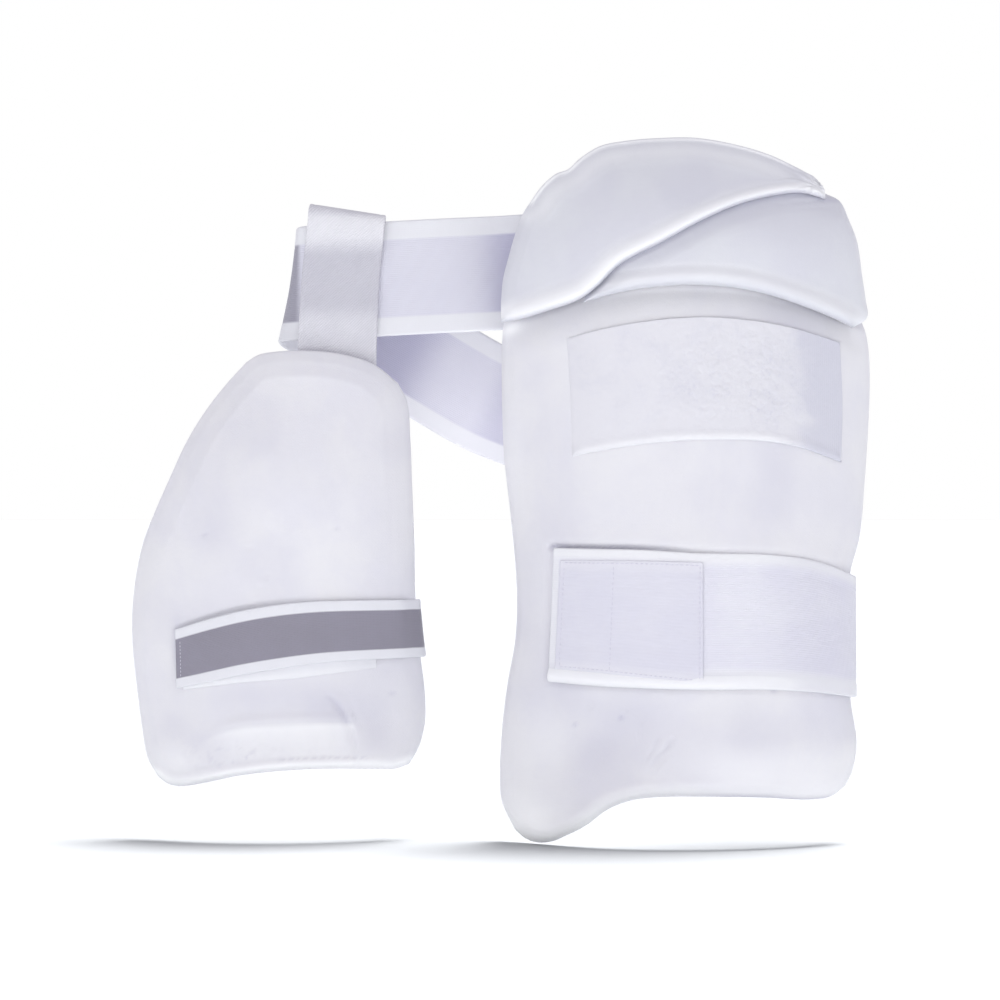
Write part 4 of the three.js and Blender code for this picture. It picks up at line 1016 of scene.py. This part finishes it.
A, B = front_points(OUTER_END_FRONT, outer_surface, GAP + STRAP_THICK + 0.25, 12, END_SLANT)
strap_end, strap_end_grid = band("outer_strap_sewn_end", A, B, TAB_THICK, False, 1, across=40,
                                 profile=lambda v, width, along: -1.0 * smooth((along[:, None] - along[-1] + 12) / 11) + 0 * v[None])
piece(strap_end, END_ELASTIC, "white_elastic", "outer_strap_end")

A, B = front_points(INNER_TAB_FRONT, inner_surface, GAP, 12)
inner_tab, inner_tab_grid = band("inner_strap_tab", A, B, TAB_THICK, False, 1, across=24,
                                 profile=lambda v, width, along: 0.3 * bump_at(v, 1.8, 1.8)[None]
                                 - 0.9 * smooth((along[:, None] - along[-1] + 40) / 38),
                                 # painted highlight along the tab's lower edge
                                 paint=lambda v, width, along, front: 0.25 * bump_at(v, 1.8, 2.2) * (1 - smooth((along - 85) / 35)))
piece(inner_tab, TAB_CLOTH, "white_elastic", "inner_tab")

A, B = strap(INNER_STRAP_FRONT, INNER_STRAP_WRAP, inner_surface, 0, GAP + TAB_THICK + GAP, -1, top_in=3.6)
inner_strap, inner_strap_grid = band("inner_strap_elastic", A, B, INNER_STRAP_THICK, False, 1, across=32,
                                     profile=selvages(6, 0.12, 0.15), wave=0.15)
piece(inner_strap, GREY_ELASTIC, "grey_elastic", "inner_strap")


# ------------------------------------------------------------------ waist belt
def belt_edges():
    centre = np.array([r[:3] for r in BELT_PATH], float)
    dense = spline(centre, True, 24)
    A, B = [], []
    for i, row in enumerate(BELT_PATH):
        t = dense[(i * 24 + 1) % len(dense)] - dense[(i * 24 - 1) % len(dense)]
        t /= np.linalg.norm(t)
        lean = math.radians(row[3])
        w = np.array([math.sin(lean), 0, math.cos(lean)])
        w -= t * (w @ t)
        w /= np.linalg.norm(w)
        A.append(centre[i] - w * BELT_WIDTH / 2)
        B.append(centre[i] + w * BELT_WIDTH / 2)
    return np.array(A), np.array(B)


A, B = belt_edges()
belt, belt_grid = band("waist_belt_elastic", A, B, BELT_THICK, True, -1, across=44, profile=selvages(11.5),
                       centred=True, wave=0.2)
piece(belt, BELT_ELASTIC, "belt_elastic", "waist_belt")

A = np.array([(l, y, z + r) for y, z, l, _, r in LOOP_PATH], float)
B = np.array([(x, y, z - r) for y, z, _, x, r in LOOP_PATH], float)
webbing, webbing_grid = band("hanging_loop_webbing", A, B, WEBBING_THICK, True, -1, step=1.2, across=40,
                             profile=selvages(3, 0.05, 0.2),
                             # painted highlight on a band near the top, and painted shade over the middle
                             paint=lambda v, width, along, front: 0.4 * smooth((front[..., 2] - 20) / 8)
                             * (1 - smooth((front[..., 2] - 38) / 3)) - 0.4 * smooth((23 - front[..., 2]) / 9)
                             * smooth((front[..., 2] + 28) / 14))
piece(webbing, TWILL, "twill_webbing", "hanging_loop")


# ------------------------------------------------------------------ stitching
def stitch_on(grid, name, start, end, material, slot, parent, **how):
    """Stitches in a straight line on a strap, from (along, across) to (along, across), in mm."""
    a = np.linspace(start[0], end[0], 60)
    v = np.linspace(start[1], end[1], 60)
    P, N = on_grid(grid, a, v)
    obj = threads(name, P, N, **how)
    return piece(obj, material, slot)


w = inner_strap_grid["width"]
stitch_on(inner_strap_grid, "inner_end_stitch", (3.6, 6.5), (3.6, w - 6.5), LILAC_THREAD, "grey_elastic", inner_strap,
          pitch=2.2, length=1.7, radius=0.22)
w = strap_end_grid["width"]
long = strap_end_grid["s"][-1]
stitch_on(strap_end_grid, "end_stitch_left", (3.2, 1.8), (3.2, w - 1.8), LILAC_THREAD, "white_elastic", strap_end)
stitch_on(strap_end_grid, "end_stitch_middle", (34.5, 1.5), (37.0, w - 1.5), LILAC_THREAD, "white_elastic", strap_end)
stitch_on(strap_end_grid, "end_stitch_right", (long - 2.2, 1.5), (long - 1.8, w - 1.5), LILAC_THREAD, "white_elastic", strap_end)
stitch_on(strap_end_grid, "end_stitch_top", (3.2, w - 1.8), (long - 2, w - 1.8), LILAC_THREAD, "white_elastic", strap_end)
stitch_on(strap_end_grid, "end_stitch_bottom", (3.2, 1.8), (long - 2, 1.8), LILAC_THREAD, "white_elastic", strap_end)


# ------------------------------------------------------------------ floor and light
FLOOR_Z = -0.3462


def stage_plane(name, size, location, material):
    h = size / 2
    mesh = bpy.data.meshes.new(name)
    mesh.from_pydata([(-h, -h, 0), (h, -h, 0), (h, h, 0), (-h, h, 0)], [], [(0, 1, 2, 3)])
    obj = bpy.data.objects.new(name, mesh)
    obj.location = location
    mesh.materials.append(material)
    scene.collection.objects.link(obj)
    return obj


floor_nodes = Nodes("floor_white", 0.9, 0.0, 0.1)
floor_nodes.shader.inputs["Emission Color"].default_value = (0.96, 1, 1, 1)
floor_nodes.shader.inputs["Emission Strength"].default_value = 0.06
floor_material = floor_nodes.finish((0.39, 0.40, 0.41, 1))
floor = stage_plane("floor", 60.0, (0, 0, FLOOR_Z), floor_material)

world = bpy.data.worlds.new("studio")
scene.world = world
world.use_nodes = True
tree = world.node_tree
background = tree.nodes["Background"]
coords = tree.nodes.new("ShaderNodeTexCoord")
split = tree.nodes.new("ShaderNodeSeparateXYZ")
tree.links.new(coords.outputs["Generated"], split.inputs[0])
ramp = tree.nodes.new("ShaderNodeValToRGB")
ramp.color_ramp.elements[0].position = 0.0
ramp.color_ramp.elements[0].color = (1.0, 1.0, 1.0, 1)
ramp.color_ramp.elements[1].position = 1.0
ramp.color_ramp.elements[1].color = (0.84, 0.83, 0.89, 1)
for place, colour in ((0.17, (1.0, 1.0, 1.0, 1)), (0.34, (0.62, 0.615, 0.65, 1)), (0.6, (0.60, 0.59, 0.64, 1))):
    ramp.color_ramp.elements.new(place).color = colour
tree.links.new(split.outputs["Z"], ramp.inputs[0])
tree.links.new(ramp.outputs[0], background.inputs["Color"])
background.inputs["Strength"].default_value = 1.0


def aimed(name, data, location, target):
    obj = bpy.data.objects.new(name, data)
    obj.location = location
    obj.rotation_euler = (Vector(target) - Vector(location)).to_track_quat("-Z", "Y").to_euler()
    obj.visible_camera = False
    scene.collection.objects.link(obj)
    return obj


def area_light(name, location, target, size, power, colour=(1, 1, 1)):
    data = bpy.data.lights.new(name, "AREA")
    data.shape = "RECTANGLE"
    data.size, data.size_y = size
    data.energy = power
    data.color = colour
    return aimed(name, data, location, target)


# a wide soft box low in front, a bounce card on the floor before the object, a fill behind the inner pad that
# lights only the belt, and a lamp overhead that only draws the shadow on the floor
area_light("front_box", (-0.30, -1.9, -0.20), (0.0, -0.05, -0.12), (0.9, 0.30), 1.6, (1.0, 0.995, 0.98))
area_light("bounce_card", (-0.02, -0.80, -0.335), (0.0, -0.05, 0.02), (2.2, 0.5), 4.2, (1.0, 0.995, 0.975))


def group_of(name, objects):
    group = bpy.data.collections.new(name)
    for one in objects:
        group.objects.link(one)
    return group


def lights_only(light, *objects, shadows_of=()):
    light.light_linking.receiver_collection = group_of(light.name + "_only", objects)
    if shadows_of:
        light.light_linking.blocker_collection = group_of(light.name + "_shadows", shadows_of)


lights_only(area_light("belt_fill", (-0.06, -0.004, -0.115), (-0.052, 0.073, -0.068), (0.09, 0.07), 0.035), belt)
lamp = bpy.data.lights.new("floor_lamp", "SUN")
lamp.energy = 6.2
lamp.angle = math.radians(22)
floor_lamp = aimed("floor_lamp", lamp, (0.20, 0.15, 1.0), (0.0, 0.0, 0.0))
lights_only(floor_lamp, floor, shadows_of=(outer_pad, inner_pad))

scene.view_settings.view_transform = "Standard"
scene.view_settings.look = "None"
scene.view_settings.exposure = 0.0
scene.view_settings.gamma = 1.0
scene.cycles.use_denoising = True
